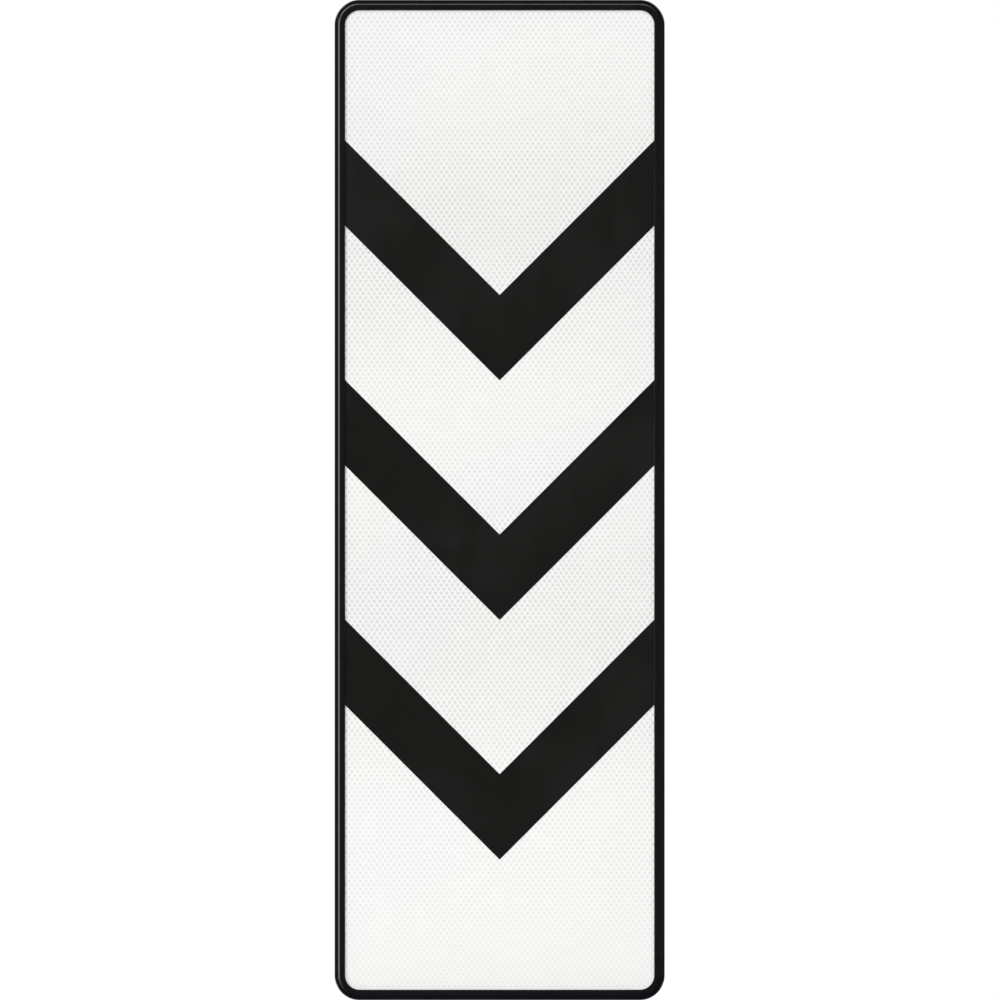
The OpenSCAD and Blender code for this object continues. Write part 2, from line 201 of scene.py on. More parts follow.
frontward = times(toward["Y"], -1.0)
ring = times(ramp(frontward, *STRIP_OUTER), ramp(frontward, *STRIP_INNER, 1, 0))
past_lamps = maths("MAXIMUM", ramp(toward["Z"], *BELOW_LEFT_LAMP, 1, 0),
                   ramp(toward["X"], *BESIDE_TOP_LAMP))
ends = times(ramp(cornerward, *END_TURN, 0, END_SHARE), past_lamps)
stretch = maths("ADD", ramp(cornerward, *STRIP_TURN), ends)
strip = times(times(ring, stretch), rays["Is Glossy Ray"])
shown_colour = blend_colours(strip, surroundings, STRIP)
print("nodes with the strip light:", len(sky.nodes))

# %% [markdown]
# All other rays get a soft light, stronger straight from the front and the back, so that the rim hardly
# shades the face. A large lamp in front could give it, but the satin film would mirror that lamp. The
# strong light comes from a little above and stops at the horizon, clear of the floor.

# %% Soft light
ALL_ROUND, STRAIGHT_ON = 0.30, 3.30
LIGHT_TILT = math.radians(12)
LIGHT_CONE, HORIZON = (0.90, 0.985), (-0.05, 0.05)

level_part = times(maths("ABSOLUTE", toward["Y"]), math.cos(LIGHT_TILT))
raised_part = times(toward["Z"], math.sin(LIGHT_TILT))
strong = ramp(maths("ADD", level_part, raised_part), *LIGHT_CONE, 0, STRAIGHT_ON)
strong = times(strong, ramp(toward["Z"], *HORIZON))
lit = wire(sky, "ShaderNodeBackground", {"Color": WHITE, "Strength": maths("ADD", strong, ALL_ROUND)})
shown = wire(sky, "ShaderNodeBackground", {"Color": shown_colour, "Strength": 1.0})
mirrored = maths("ADD", rays["Is Glossy Ray"], rays["Is Transmission Ray"])
seen = maths("ADD", rays["Is Camera Ray"], mirrored, clamp=True)
mixed = wire(sky, "ShaderNodeMixShader", {0: seen, 1: lit.outputs[0], 2: shown.outputs[0]})
wire(sky, "ShaderNodeOutputWorld", {"Surface": mixed.outputs[0]})
scene.view_settings.view_transform = "Standard"
print("world nodes:", len(sky.nodes))

# %% [markdown]
# Softboxes shape the gloss. On the left and top edges the picture shows one thin bright line: the
# reflection of a lamp in the rounded edge. An edge turned by an angle mirrors a lamp at twice that angle,
# so the place of the line gives the place of the lamp: about 40 degrees to the left for one, about 40
# degrees up for the other. The rear lamps stand high and aside, where no edge mirrors them to the camera.

# %% Softboxes
def softbox(name, azimuth, elevation, reach, width, height, radiance, tint=(1, 1, 1)):
    """A rectangular lamp aimed at the origin. Azimuth 0 is at the camera, 90 is on the sign's right."""
    lamp = bpy.data.objects.new(name, bpy.data.lights.new(name, "AREA"))
    scene.collection.objects.link(lamp)
    lamp.data.shape = "RECTANGLE"
    lamp.data.size, lamp.data.size_y = width, height
    lamp.data.energy = radiance * math.pi * width * height
    lamp.data.color = tint
    around, up = math.radians(azimuth), math.radians(elevation)
    aim = Vector((math.sin(around) * math.cos(up), -math.cos(around) * math.cos(up), math.sin(up)))
    lamp.location = aim * reach
    lamp.rotation_euler = aim.to_track_quat("Z", "Y").to_euler()
    lamp.visible_camera = False
    return lamp


softboxes = [
    softbox("key_left", -40, 0, 10.0, 4.6, 4.4, 5.8),
    softbox("top_front", 0, 40, 7.0, 3.64, 1.47, 4.8),
    softbox("fill_right", 62, 4, 5.0, 2.2, 2.2, 0.40, (0.80, 0.87, 1.0)),
    softbox("rear_left", -142, 38, 4.2, 1.7, 1.5, 2.6),
    softbox("rear_right", 142, 34, 4.2, 1.7, 1.5, 1.8),
]
print("softboxes:", [lamp.name for lamp in softboxes])

# %% [markdown]
# ## Floor
# A pale floor lies close under the sign, just out of the picture, and takes its soft shadow in other
# views. A large plane would draw a horizon, so it is a disc whose rim melts into the white ground, and it
# is clear from below. Its paint is a light grey, so that not much light bounces up to the sheet, and to
# the eye alone a faint glow makes it paler. The glossy edges mirror the dark flag below instead of it.

# %% Floor disc
FLOOR_Z, FLOOR_RADIUS = -0.522, 1.3  # m

floor_mesh = bpy.data.meshes.new("floor")
bm = bmesh.new()
bmesh.ops.create_circle(bm, cap_ends=True, segments=96, radius=FLOOR_RADIUS,
                        matrix=Matrix.Translation((0, 0, FLOOR_Z)))
bm.to_mesh(floor_mesh)
bm.free()
floor = bpy.data.objects.new("floor", floor_mesh)
scene.collection.objects.link(floor)
floor.visible_glossy = False
print("floor at", FLOOR_Z)

# %% Floor paint
FLOOR_GLOW = 0.33
FADE_START, FADE_END = 0.30 * FLOOR_RADIUS, 0.98 * FLOOR_RADIUS
FLOOR_TONES = (0.70, 0.70, 0.70), (0.73, 0.73, 0.727)


def object_point(tree):
    """Where a point lies on its piece."""
    return wire(tree, "ShaderNodeTexCoord").outputs["Object"]


def noise(point, scale, detail, **more):
    """A soft random value from 0 to 1."""
    inputs = {"Vector": point, "Scale": scale, "Detail": detail, **more}
    return wire(tree_of(point), "ShaderNodeTexNoise", inputs).outputs["Fac"]


paint = bpy.data.materials.new("studio_floor")
paint.use_nodes = True
tree = paint.node_tree
tree.nodes.clear()
point = object_point(tree)
tone = blend_colours(noise(point, 3.0, 3.0), *FLOOR_TONES)
matt = wire(tree, "ShaderNodeBsdfDiffuse", {"Color": tone})
to_eye = times(wire(tree, "ShaderNodeLightPath").outputs["Is Camera Ray"], FLOOR_GLOW)
glow = wire(tree, "ShaderNodeEmission", {"Color": WHITE, "Strength": to_eye})
pale = wire(tree, "ShaderNodeAddShader", {0: matt.outputs[0], 1: glow.outputs[0]})
clear = wire(tree, "ShaderNodeBsdfTransparent")
from_middle = vectors("LENGTH", vectors("MULTIPLY", point, (1, 1, 0)))
fade = ramp(from_middle, FADE_START, FADE_END)
hidden = maths("MAXIMUM", fade, wire(tree, "ShaderNodeNewGeometry").outputs["Backfacing"])
both = wire(tree, "ShaderNodeMixShader", {0: hidden, 1: pale.outputs[0], 2: clear.outputs[0]})
wire(tree, "ShaderNodeOutputMaterial", {"Surface": both.outputs[0]})
floor_mesh.materials.append(paint)
print("floor paint nodes:", len(tree.nodes))

# %% [markdown]
# ## Shared effects
# Several finishes need the same marks, so each mark is a node group, built once: drawn lines from rolling
# or extruding, soft handling marks, a fine grain, wear on convex edges, and the cells of the sheet. A
# group gives out only a mask, and each material decides what the mask does to its colour, roughness or
# bump.

# %% Effect helpers
def effect(name, **sockets):
    """A new shader group with named inputs, title=(kind, value), and one output, Mask."""
    group = bpy.data.node_groups.new(name, "ShaderNodeTree")
    for title, (kind, value) in sockets.items():
        socket = group.interface.new_socket(title, in_out="INPUT", socket_type="NodeSocket" + kind)
        socket.default_value = value
    group.interface.new_socket("Mask", in_out="OUTPUT", socket_type="NodeSocketFloat")
    return group, group.nodes.new("NodeGroupInput").outputs


def close_effect(group, mask):
    """Joins a mask to the group's output."""
    wire(group, "NodeGroupOutput", {"Mask": mask})
    print("effect:", group.name)
    return group


list_helpers(effect, close_effect)

# %% Drawn lines, handling marks and grain
lines, given = effect("drawn_lines", Stretch=("Vector", (1, 1, 1)), Contrast=("Float", 1.0))
stretched = vectors("MULTIPLY", object_point(lines), given["Stretch"])
centred = maths("SUBTRACT", noise(stretched, 1.0, 5.0, Roughness=0.65), 0.5)
contrast = times(centred, given["Contrast"])
drawn_lines = close_effect(lines, maths("ADD", contrast, 0.5, clamp=True))

marks, given = effect("handling_marks", Scale=("Float", 12.0), Amount=("Float", 0.5))
STREAK_STRETCH, PATCH_EDGE = (60, 60, 9), (0.36, 0.68)
point = object_point(marks)
broad = noise(point, given["Scale"], 3.0, Distortion=0.6)
streaky = noise(vectors("MULTIPLY", point, STREAK_STRETCH), 1.0, 4.0)
patches = ramp(times(broad, maths("ADD", streaky, 0.5)), *PATCH_EDGE)
handling_marks = close_effect(marks, times(patches, given["Amount"]))

grit, given = effect("fine_grain", Scale=("Float", 1500.0))
grains = wire(grit, "ShaderNodeTexVoronoi", {"Vector": object_point(grit), "Scale": given["Scale"]},
              feature="SMOOTH_F1")
fine_grain = close_effect(grit, grains.outputs["Distance"])

# %% Edge wear and sheet cells
rubbed, given = effect("worn_edges", Amount=("Float", 0.5))
WEAR_SCALE, WEAR_EDGE = 180.0, (0.22, 0.60)
edge = wire(rubbed, "ShaderNodeAttribute", attribute_name="convex").outputs["Fac"]
patchy = noise(object_point(rubbed), WEAR_SCALE, 5.0)
scuffed = ramp(times(edge, patchy), *WEAR_EDGE)
worn_edges = close_effect(rubbed, times(scuffed, given["Amount"]))

cells, given = effect("sheet_cells", Width=("Float", 0.00557), Height=("Float", 0.0081))
FLATTEN, DOT_GAIN, DOT_LEVEL = 0.27, 0.5, 0.365
spot = wire(cells, "ShaderNodeSeparateXYZ", {0: object_point(cells)}).outputs
turn_x = maths("DIVIDE", times(spot["X"], 2 * math.pi), given["Width"])
turn_z = maths("DIVIDE", times(spot["Z"], 2 * math.pi), given["Height"])
diamonds = times(maths("COSINE", turn_x), maths("COSINE", turn_z))
flatter = times(maths("COSINE", times(turn_z, 2.0)), FLATTEN)
waves = maths("ADD", diamonds, flatter)
sheet_cells = close_effect(cells, maths("MULTIPLY_ADD", waves, DOT_GAIN, DOT_LEVEL, clamp=True))

# %% [markdown]
# ## Finishes
# Every metal and coating here is one Principled shader with the same parts: two tones mixed by drawn
# lines and handling marks, a roughness that follows the marks, a fine bump, and wear on the edges. One
# function builds them, and the values make the finish: mill aluminium, cast aluminium, steel or black
# coat. Constants are set on the shader's own sockets.

# %% Material helpers
def use_effect(tree, group, **values):
    """Places an effect group in a material with its own values; returns its mask."""
    return wire(tree, "ShaderNodeGroup", values, node_tree=group).outputs["Mask"]


def start_material(name, **constants):
    """A material with one Principled shader, whose constant inputs are set on its own sockets."""
    material = bpy.data.materials.new(name)
    material.use_nodes = True
    tree = material.node_tree
    tree.nodes.clear()
    shader = wire(tree, "ShaderNodeBsdfPrincipled", constants)
    wire(tree, "ShaderNodeOutputMaterial", {"Surface": shader.outputs[0]})
    print("finish:", name)
    return material, tree, shader


def fill_shader(shader, base, roughness, height, strength, distance):
    """Joins a colour, a roughness and a bump from a height, whose distance is in mm, to a shader."""
    tree = shader.id_data
    relief = wire(tree, "ShaderNodeBump", {"Strength": strength, "Distance": distance * MM, "Height": height})
    for socket, value in (("Base Color", base), ("Roughness", roughness), ("Normal", relief.outputs[0])):
        tree.links.new(value, shader.inputs[socket])


list_helpers(use_effect, start_material, fill_shader)

# %% Finish builder
LINE_CONTRAST, MARK_SCALE = 1.5, 14.0
LINE_TONE, MARK_TONE = 0.6, 0.5  # how far lines and marks darken a finish
LINE_ROUGH, MARK_ROUGH = 0.5, 0.7  # how far they roughen it
ROUGH_EDGE = (0.1, 0.8)
GRAIN_SHARE, BUMP_STRENGTH = 0.7, 0.6


def make_finish(name, light, dark, rough, stretch, grain, bump, marks=0.5, worn=None, metallic=1.0,
                specular=0.5):
    """Two tones, a roughness range, the stretch of the drawn lines, the grain's scale, the bump in mm, the
    amount of handling marks, and the amount and colour of the wear."""
    material, tree, shader = start_material(name, **{"Metallic": metallic, "Specular IOR Level": specular})
    drawn = use_effect(tree, drawn_lines, Stretch=stretch, Contrast=LINE_CONTRAST)
    handled = use_effect(tree, handling_marks, Scale=MARK_SCALE, Amount=marks)
    grained = use_effect(tree, fine_grain, Scale=grain)
    tone = maths("ADD", times(drawn, LINE_TONE), times(handled, MARK_TONE), clamp=True)
    base = blend_colours(tone, light, dark)
    if worn:
        base = blend_colours(use_effect(tree, worn_edges, Amount=worn[0]), base, worn[1])
    roughness = maths("ADD", times(drawn, LINE_ROUGH), times(handled, MARK_ROUGH))
    height = maths("ADD", drawn, times(grained, GRAIN_SHARE))
    fill_shader(shader, base, ramp(roughness, *ROUGH_EDGE, *rough), height, BUMP_STRENGTH, bump)
    return material


list_helpers(make_finish)

# %% [markdown]
# ## Mesh helpers
# Profiles, rails and fasteners are all flat outlines that are pulled along a path or spun about an axis,
# so a few helpers make most of the sign. A curve with a bevel object sweeps an outline too, but here each
# end needs its own small chamfer, so the rows of points are set one by one. Real metal has no knife edges,
# so an outline also rounds its corners. All helpers take millimetres.

# %% Outlines
ARC_POINTS = 7  # points on an arc of 1 mm radius; more on a larger one


def rounded_outline(corners):
    """Points round a closed outline; each corner is (u, v, radius)."""
    points = []
    for k, (u, v, radius) in enumerate(corners):
        here = Vector((u, v))
        back = (Vector(corners[k - 1][:2]) - here).normalized()
        ahead = (Vector(corners[(k + 1) % len(corners)][:2]) - here).normalized()
        half = back.angle(ahead) / 2
        centre = here + (back + ahead).normalized() * radius / math.sin(half)
        arm = here + back * radius / math.tan(half) - centre
        turn = math.copysign(math.pi - 2 * half, ahead.cross(back))
        steps = max(3, math.ceil(ARC_POINTS * math.sqrt(radius)))
        for step in range(steps + 1):
            swung = turn * step / steps
            points.append(centre + Vector((arm.x * math.cos(swung) - arm.y * math.sin(swung),
                                           arm.x * math.sin(swung) + arm.y * math.cos(swung))))
    return points


def inset(outline, amount):
    """The outline moved inwards by an amount."""
    count = len(outline)
    facing = math.copysign(1, sum(outline[k - 1].cross(outline[k]) for k in range(count)))
    moved = []
    for k, here in enumerate(outline):
        before = (here - outline[k - 1]).normalized()
        after = (outline[(k + 1) % count] - here).normalized()
        along = (before + after).normalized()
        inward = Vector((-along.y, along.x)) * facing
        moved.append(here + inward * amount / max(0.5, along.dot(after)))
    return moved


list_helpers(rounded_outline, inset)

# %% Bars
SAME_POINT = 1e-7  # points closer than this are one, m


def pull(bm, outline, stations, place, hollow=None):
    """Pulls an outline through stations (distance, inset); place(u, v, distance) gives each point. hollow
    is a second outline, for a chamber that runs through."""
    ends = []
    for loop, side in ((outline, 1), (hollow, -1)):
        if loop is None:
            continue
        rows = [[bm.verts.new(Vector(place(p.x, p.y, at)) * MM) for p in inset(loop, side * cut)]
                for at, cut in stations]
        for low, high in zip(rows, rows[1:]):
            for k in range(len(low)):
                bm.faces.new((low[k - 1], low[k], high[k], high[k - 1]))
        ends.append((rows[0], rows[-1]))
    for end in (0, 1):
        loops = [pair[end] for pair in ends]
        rim = [bm.edges.get((loop[k - 1], loop[k])) for loop in loops for k in range(len(loop))]
        bmesh.ops.triangle_fill(bm, use_beauty=True, edges=rim)


def bar_stations(start, stop, chamfer):
    """Stations of a straight bar with a chamfer at each end."""
    return [(start, chamfer), (start + chamfer, 0), (stop - chamfer, 0), (stop, chamfer)]


def piece_from(bm, name, *materials):
    """Turns a bmesh into an object, with its doubles merged and its normals outwards."""
    bmesh.ops.remove_doubles(bm, verts=bm.verts, dist=SAME_POINT)
    bmesh.ops.recalc_face_normals(bm, faces=bm.faces)
    mesh = bpy.data.meshes.new(name)
    bm.to_mesh(mesh)
    bm.free()
    for material in materials:
        mesh.materials.append(material)
    piece = bpy.data.objects.new(name, mesh)
    scene.collection.objects.link(piece)
    return piece


def pulled_piece(name, material, outline, stations, place, hollow=None):
    """A piece that is one pulled outline."""
    bm = bmesh.new()
    pull(bm, outline, stations, place, hollow)
    return piece_from(bm, name, material)


list_helpers(pull, bar_stations, piece_from, pulled_piece)

# %% [markdown]
# Turned pieces such as nuts, washers and rivets are outlines of (radius, height), spun about a line along
# Y. The Screw modifier spins outlines too, but it can't hold the radius back at the flats of a nut. A
# modifier, such as a Boolean that drills or joins, is made part of the mesh at once. Smooth shading keeps
# crisp edges, and a mark on convex edges tells the finish where wear goes. A finished piece is put on its
# CAD body, in place of the solid that it stands for.

# %% Turned pieces
def turn_round(bm, outline, centre, columns, closed=False, limit=None):
    """Spins an outline of (radius, height). limit(angle) may hold the radius back, as a nut's flats do."""
    rows = []
    for radius, height in outline:
        row = []
        for k in range(columns if radius > 0 else 1):
            angle = 2 * math.pi * k / columns
            reach = min(radius, limit(angle)) if limit else radius
            arm = Vector((reach * math.cos(angle), height, reach * math.sin(angle)))
            row.append(bm.verts.new((Vector(centre) + arm) * MM))
        rows.append(row)
    made = []
    for low, high in zip(rows, rows[1:] + (rows[:1] if closed else [])):
        for k in range(columns):
            ring = [row[at % len(row)] for row, at in ((low, k - 1), (low, k), (high, k), (high, k - 1))]
            made.append(bm.faces.new(list(dict.fromkeys(ring))))
    return made


list_helpers(turn_round)

# %% Joining and drilling
def settle(piece):
    """Makes a piece's modifiers part of its mesh."""
    bpy.context.view_layer.update()
    graph = bpy.context.evaluated_depsgraph_get()
    mesh = bpy.data.meshes.new_from_object(piece.evaluated_get(graph))
    piece.modifiers.clear()
    piece.data = mesh
    mesh.name = piece.name
    return piece


def combine(piece, other, operation):
    """Joins another solid to a piece, or cuts it away, so that one clean skin is left."""
    both = piece.modifiers.new("combine", "BOOLEAN")
    both.object, both.operation, both.solver = other, operation, "EXACT"
    settle(piece)
    bpy.data.objects.remove(other)
    return piece


def drill(piece, holes):
    """Cuts round holes; each is (middle, axis, radius, length)."""
    bm = bmesh.new()
    for middle, axis, radius, length in holes:
        turned = Vector(axis).to_track_quat("Z", "Y").to_matrix().to_4x4()
        bmesh.ops.create_cone(bm, cap_ends=True, segments=40, radius1=radius * MM, radius2=radius * MM,
                              depth=length * MM, matrix=Matrix.Translation(Vector(middle) * MM) @ turned)
    return combine(piece, piece_from(bm, piece.name + "_drill"), "DIFFERENCE")


list_helpers(settle, combine, drill)

# %% Shading and placing
CRISP, WEAR_GAIN = 38, 3.0  # angle of a crisp edge, degrees, and the wear for each radian of bend


def polish(piece, crisp=CRISP):
    """Smooth shading with crisp edges, flat faces kept flat, and a mark on convex edges for the wear."""
    mesh = piece.data
    bm = bmesh.new()
    bm.from_mesh(mesh)
    bend = {edge: edge.calc_face_angle_signed(0) for edge in bm.edges}
    mean_bend = [sum(bend[edge] for edge in vert.link_edges) / max(1, len(vert.link_edges))
                 for vert in bm.verts]
    bm.free()
    share = [min(1.0, max(0.0, WEAR_GAIN * mean)) for mean in mean_bend]
    mesh.attributes.new("convex", "FLOAT", "POINT").data.foreach_set("value", share)
    mesh.shade_smooth()
    mesh.set_sharp_from_angle(angle=math.radians(crisp))
    even = piece.modifiers.new("even_normals", "WEIGHTED_NORMAL")
    even.keep_sharp = True
    return settle(piece)


def mount(piece, body, slot, *nodes):
    """Puts a finished piece on its CAD body, in place of its CAD nodes."""
    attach(piece, body)
    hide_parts(*nodes)
    print(f"{piece.name}: {len(piece.data.polygons)} faces on {body}")
    return piece


list_helpers(polish, mount)

# %% [markdown]
# ## Edge profile
# The frame is four straight lengths of black aluminium profile. The section has a lip over the face, a
# slot that grips the plate, a hollow box behind it and a flat flange at the back. The solids have the same
# section, but their large front rounding is a little coarse for a gloss line, so the lengths are pulled
# again from a finer outline. The finish is a smooth black coat with a slightly blue tone.

# %% Edge profile finish
rim_coat = make_finish("black_edge_coat", (0.0032, 0.0032, 0.0039), (0.0044, 0.0044, 0.0052),
                       (0.13, 0.20), (700, 700, 700), 2600.0, 0.004,
                       worn=(0.12, (0.02, 0.02, 0.022)), metallic=0.0, specular=0.33)

# %% Edge profile section
RIM_W, LIP_T, SLOT_FLOOR, SLOT_END = 10.5, 2.0, 3.7, 4.8
BOX_W, DEPTH, WALL, FLANGE = 12.5, 18.0, 2.0, 24.0
LIP_FRONT_R, LIP_BACK_R, SLOT_R, INNER_R, FLANGE_R, BACK_R = 0.3, 0.25, 0.15, 0.4, 0.5, 1.0  # edge radii

slotted_front = [(0, 0, RIM_ROUND), (RIM_W, 0, LIP_FRONT_R), (RIM_W, LIP_T, LIP_BACK_R),
                 (SLOT_FLOOR, LIP_T, SLOT_R), (SLOT_FLOOR, SLOT_END, SLOT_R), (BOX_W, SLOT_END, INNER_R)]
profile_outline = rounded_outline(slotted_front + [
    (BOX_W, DEPTH - WALL, FLANGE_R), (FLANGE, DEPTH - WALL, FLANGE_R), (FLANGE, DEPTH, FLANGE_R),
    (0, DEPTH, BACK_R)])
box_low, box_high = (WALL, SLOT_END + WALL), (BOX_W - WALL, DEPTH - WALL)


def rounded_box(low, high, radius):
    """An outline of a rectangle with rounded corners."""
    corners = low, (high[0], low[1]), high, (low[0], high[1])
    return rounded_outline([(*corner, radius) for corner in corners])


chamber = rounded_box(box_low, box_high, INNER_R)
print("points of the profile's outline and of its chamber:", len(profile_outline), len(chamber))

# %% Edge profile lengths
HALF_W, HALF_H = cad_high.x / MM, cad_high.z / MM
FRONT_Y = cad_low.y / MM
BACK_Y = FRONT_Y + DEPTH
CORNER_R = 25.0
SEAM = 0.15  # chamfer at each joint of the frame, which shows as a hairline
CORNER_RIVET, RAIL_RIVET, RIVET_PLAY = 3.2, 4.8, 0.05  # diameters of the rivets, and play in their holes
RIVET_U, RIVET_STEP = BOX_W / 2, 12.5  # corner rivets, from the outer face and from the seam
RAIL_Z, RAIL_RIVET_X = 300.0, 146.0
DRAIN_X, DRAIN_R = 84.0, 2.5
OVERRUN = 1.0  # a drill's length beyond the wall
side_reach, end_reach = HALF_H - CORNER_R, HALF_W - CORNER_R
ENDS = (-1, 1)


def profile_length(node, reach, place, holes):
    """One straight length from -reach to reach along its edge, drilled for its rivets."""
    stations = bar_stations(-reach, reach, SEAM)
    length = pulled_piece(node + "_length", rim_coat, profile_outline, stations, place, chamber)
    return mount(polish(drill(length, holes)), "panel", "edge_profile", node)


def hole_through(x, z, rivet, middle=BACK_Y - WALL / 2, wall=WALL):
    """A rivet hole along Y through a wall, for drill(); the wall is the profile's back, or another."""
    return ((x, middle, z), (0, 1, 0), rivet / 2 + RIVET_PLAY, wall + OVERRUN)


for side, node in ((-1, "left_edge_profile"), (1, "right_edge_profile")):
    rivet_x, rivet_z = side * (HALF_W - RIVET_U), side_reach - RIVET_STEP
    holes = [hole_through(rivet_x, end * rivet_z, CORNER_RIVET) for end in ENDS]
    holes += [hole_through(side * RAIL_RIVET_X, end * RAIL_Z, RAIL_RIVET) for end in ENDS]
    profile_length(node, side_reach, lambda u, v, s: (side * (HALF_W - u), FRONT_Y + v, s), holes)

for side, node in ((1, "top_edge_profile"), (-1, "bottom_edge_profile")):
    rivet_x, rivet_z = end_reach - RIVET_STEP, side * (HALF_H - RIVET_U)
    holes = [hole_through(end * rivet_x, rivet_z, CORNER_RIVET) for end in ENDS]
    if node == "bottom_edge_profile":
        drain_y, drain_z = FRONT_Y + (SLOT_END + DEPTH) / 2, -HALF_H + WALL / 2
        holes += [((end * DRAIN_X, drain_y, drain_z), (0, 0, 1), DRAIN_R, WALL + OVERRUN) for end in ENDS]
    profile_length(node, end_reach, lambda u, v, s: (s, FRONT_Y + v, side * (HALF_H - u)), holes)

# %% [markdown]
# ## Corner pieces
# Each corner is a black moulding: the same section without a chamber, turned through a quarter circle,
# with a rear flange that closes the frame and a square tongue that plugs into each straight length. The
# outline is pulled round an arc in small steps. Flange and tongues could simply overlap it, but that would
# leave faces inside the solid, so Booleans join them. The mould leaves it a shade less blue and a little
# duller than the coated lengths.

# %% Corner finish and outlines
corner_black = make_finish("moulded_black", (0.0034, 0.0034, 0.0039), (0.0046, 0.0046, 0.0051),
                           (0.15, 0.22), (500, 500, 500), 2200.0, 0.005,
                           worn=(0.10, (0.02, 0.02, 0.02)), metallic=0.0, specular=0.33)
TONGUE, TONGUE_ROOT, TONGUE_PLAY = 25.0, 0.5, 0.15
TONGUE_R, TONGUE_CHAMFER = 0.6, 0.4
TURN_STEP, FLANGE_STEP = 3, 10  # degrees between the rows of the turned section and of the flange's arc
SEAM_ANGLE = 0.5  # the end chamfer, as a turn about the corner's centre, degrees

corner_outline = rounded_outline(slotted_front + [(BOX_W, DEPTH, FLANGE_R), (0, DEPTH, BACK_R)])
tongue_low, tongue_high = [at + TONGUE_PLAY for at in box_low], [at - TONGUE_PLAY for at in box_high]
tongue_outline = rounded_box(tongue_low, tongue_high, TONGUE_R)
flange_root = CORNER_R - BOX_W / 1.5  # hidden arc of the flange, inside the turned section
flange_outline = [Vector((CORNER_R, FLANGE)), Vector((FLANGE, FLANGE)), Vector((FLANGE, CORNER_R))]
flange_outline += [Vector((CORNER_R - flange_root * math.cos(math.radians(angle)),
                           CORNER_R - flange_root * math.sin(math.radians(angle))))
                   for angle in range(0, 91, FLANGE_STEP)]
turns = [(0, SEAM), (SEAM_ANGLE, 0), *((angle, 0) for angle in range(TURN_STEP, 90, TURN_STEP)),
         (90 - SEAM_ANGLE, 0), (90, SEAM)]
print("steps round a corner:", len(turns))

# %% Corner pieces
def corner_piece(node, side, end):
    """One corner: the turned section, its rear flange and its two tongues."""
    def around(u, v, angle):
        reach, swung = CORNER_R - u, math.radians(angle)
        return (side * (end_reach + reach * math.cos(swung)), FRONT_Y + v,
                end * (side_reach + reach * math.sin(swung)))
    plug = bar_stations(-TONGUE_ROOT, TONGUE, TONGUE_CHAMFER)
    parts = [
        (corner_outline, turns, around),
        (flange_outline, bar_stations(BACK_Y - WALL, BACK_Y, SEAM),
         lambda u, v, s: (side * (HALF_W - u), s, end * (HALF_H - v))),
        (tongue_outline, plug, lambda u, v, s: (side * (HALF_W - u), FRONT_Y + v, end * (side_reach - s))),
        (tongue_outline, plug, lambda u, v, s: (side * (end_reach - s), FRONT_Y + v, end * (HALF_H - u)))]
    corner, *extras = [pulled_piece(node + "_moulding", corner_black, *part) for part in parts]
    for extra in extras:
        combine(corner, extra, "UNION")
    return mount(polish(corner), "panel", "corner_moulding", node)


for side, across_name in ((-1, "left"), (1, "right")):
    for end, up_name in ((1, "top"), (-1, "bottom")):
        corner_piece(f"corner_{up_name}_{across_name}", side, end)

# %% [markdown]
# ## Geometry Nodes helpers
# What repeats by a rule is made with Geometry Nodes: the cells of the sheet and the rivets. A tree is
# built here with named inputs, a modifier gives them values by the socket's identifier, and the result is
# made a plain mesh.

# %% Geometry Nodes helpers
def geometry_tree(name, **inputs):
    """A geometry tree with a Geometry input, further named inputs and a Geometry output."""
    tree = bpy.data.node_groups.new(name, "GeometryNodeTree")
    tree.interface.new_socket("Geometry", in_out="INPUT", socket_type="NodeSocketGeometry")
    for title, kind in inputs.items():
        tree.interface.new_socket(title.replace("_", " "), in_out="INPUT", socket_type="NodeSocket" + kind)
    tree.interface.new_socket("Geometry", in_out="OUTPUT", socket_type="NodeSocketGeometry")
    return tree, tree.nodes.new("NodeGroupInput").outputs


def close_tree(tree, geometry, finish):
    """Gives a tree's geometry its finish and joins it to the output."""
    covered = wire(tree, "GeometryNodeSetMaterial", {"Geometry": geometry, "Material": finish})
    wire(tree, "NodeGroupOutput", {"Geometry": covered.outputs[0]})
    print(f"{tree.name}: {len(tree.nodes)} nodes")
    return tree


def grow(piece, tree, **values):
    """Runs a geometry tree on a piece with its own values, and keeps the result as a plain mesh."""
    growth = piece.modifiers.new(tree.name, "NODES")
    growth.node_group = tree
    for item in tree.interface.items_tree:
        title = item.name.replace(" ", "_")
        if item.item_type == "SOCKET" and item.in_out == "INPUT" and title in values:
            growth[item.identifier] = values[title]
    return settle(piece)


def vector(**parts):
    """A vector from its X, Y and Z, as far as they are given."""
    return wire(tree_of(*parts.values()), "ShaderNodeCombineXYZ", parts).outputs[0]


list_helpers(geometry_tree, close_tree, grow, vector)

# %% [markdown]
# ## Reflective sheet
# The white sheet is a prismatic film: thousands of diamond-shaped cells a few millimetres across, sealed
# along a fine bright net. From a distance each cell is a soft grey dot. A bump texture could fake that,
# but real cells also catch light at their edges, so a small four-sided pad is set at every place of two
# interleaved grids, and only where the round-cornered outline leaves room. The slab under the pads is an
# outline pulled to its thickness.

# %% Sheet grids
tree, given = geometry_tree("diamond_cells", Cell_Width="Float", Cell_Height="Float", Relief="Float",
                            Net_Share="Float", Field_Width="Float", Field_Height="Float",
                            Corner_Radius="Float", Pad_Back="Float", Finish="Material")


def even_count(extent, cell):
    """An even number of cells that covers an extent, so that a cell lies on the middle."""
    pairs = maths("CEIL", maths("DIVIDE", extent, times(cell, 2.0)))
    return times(pairs, 2.0)


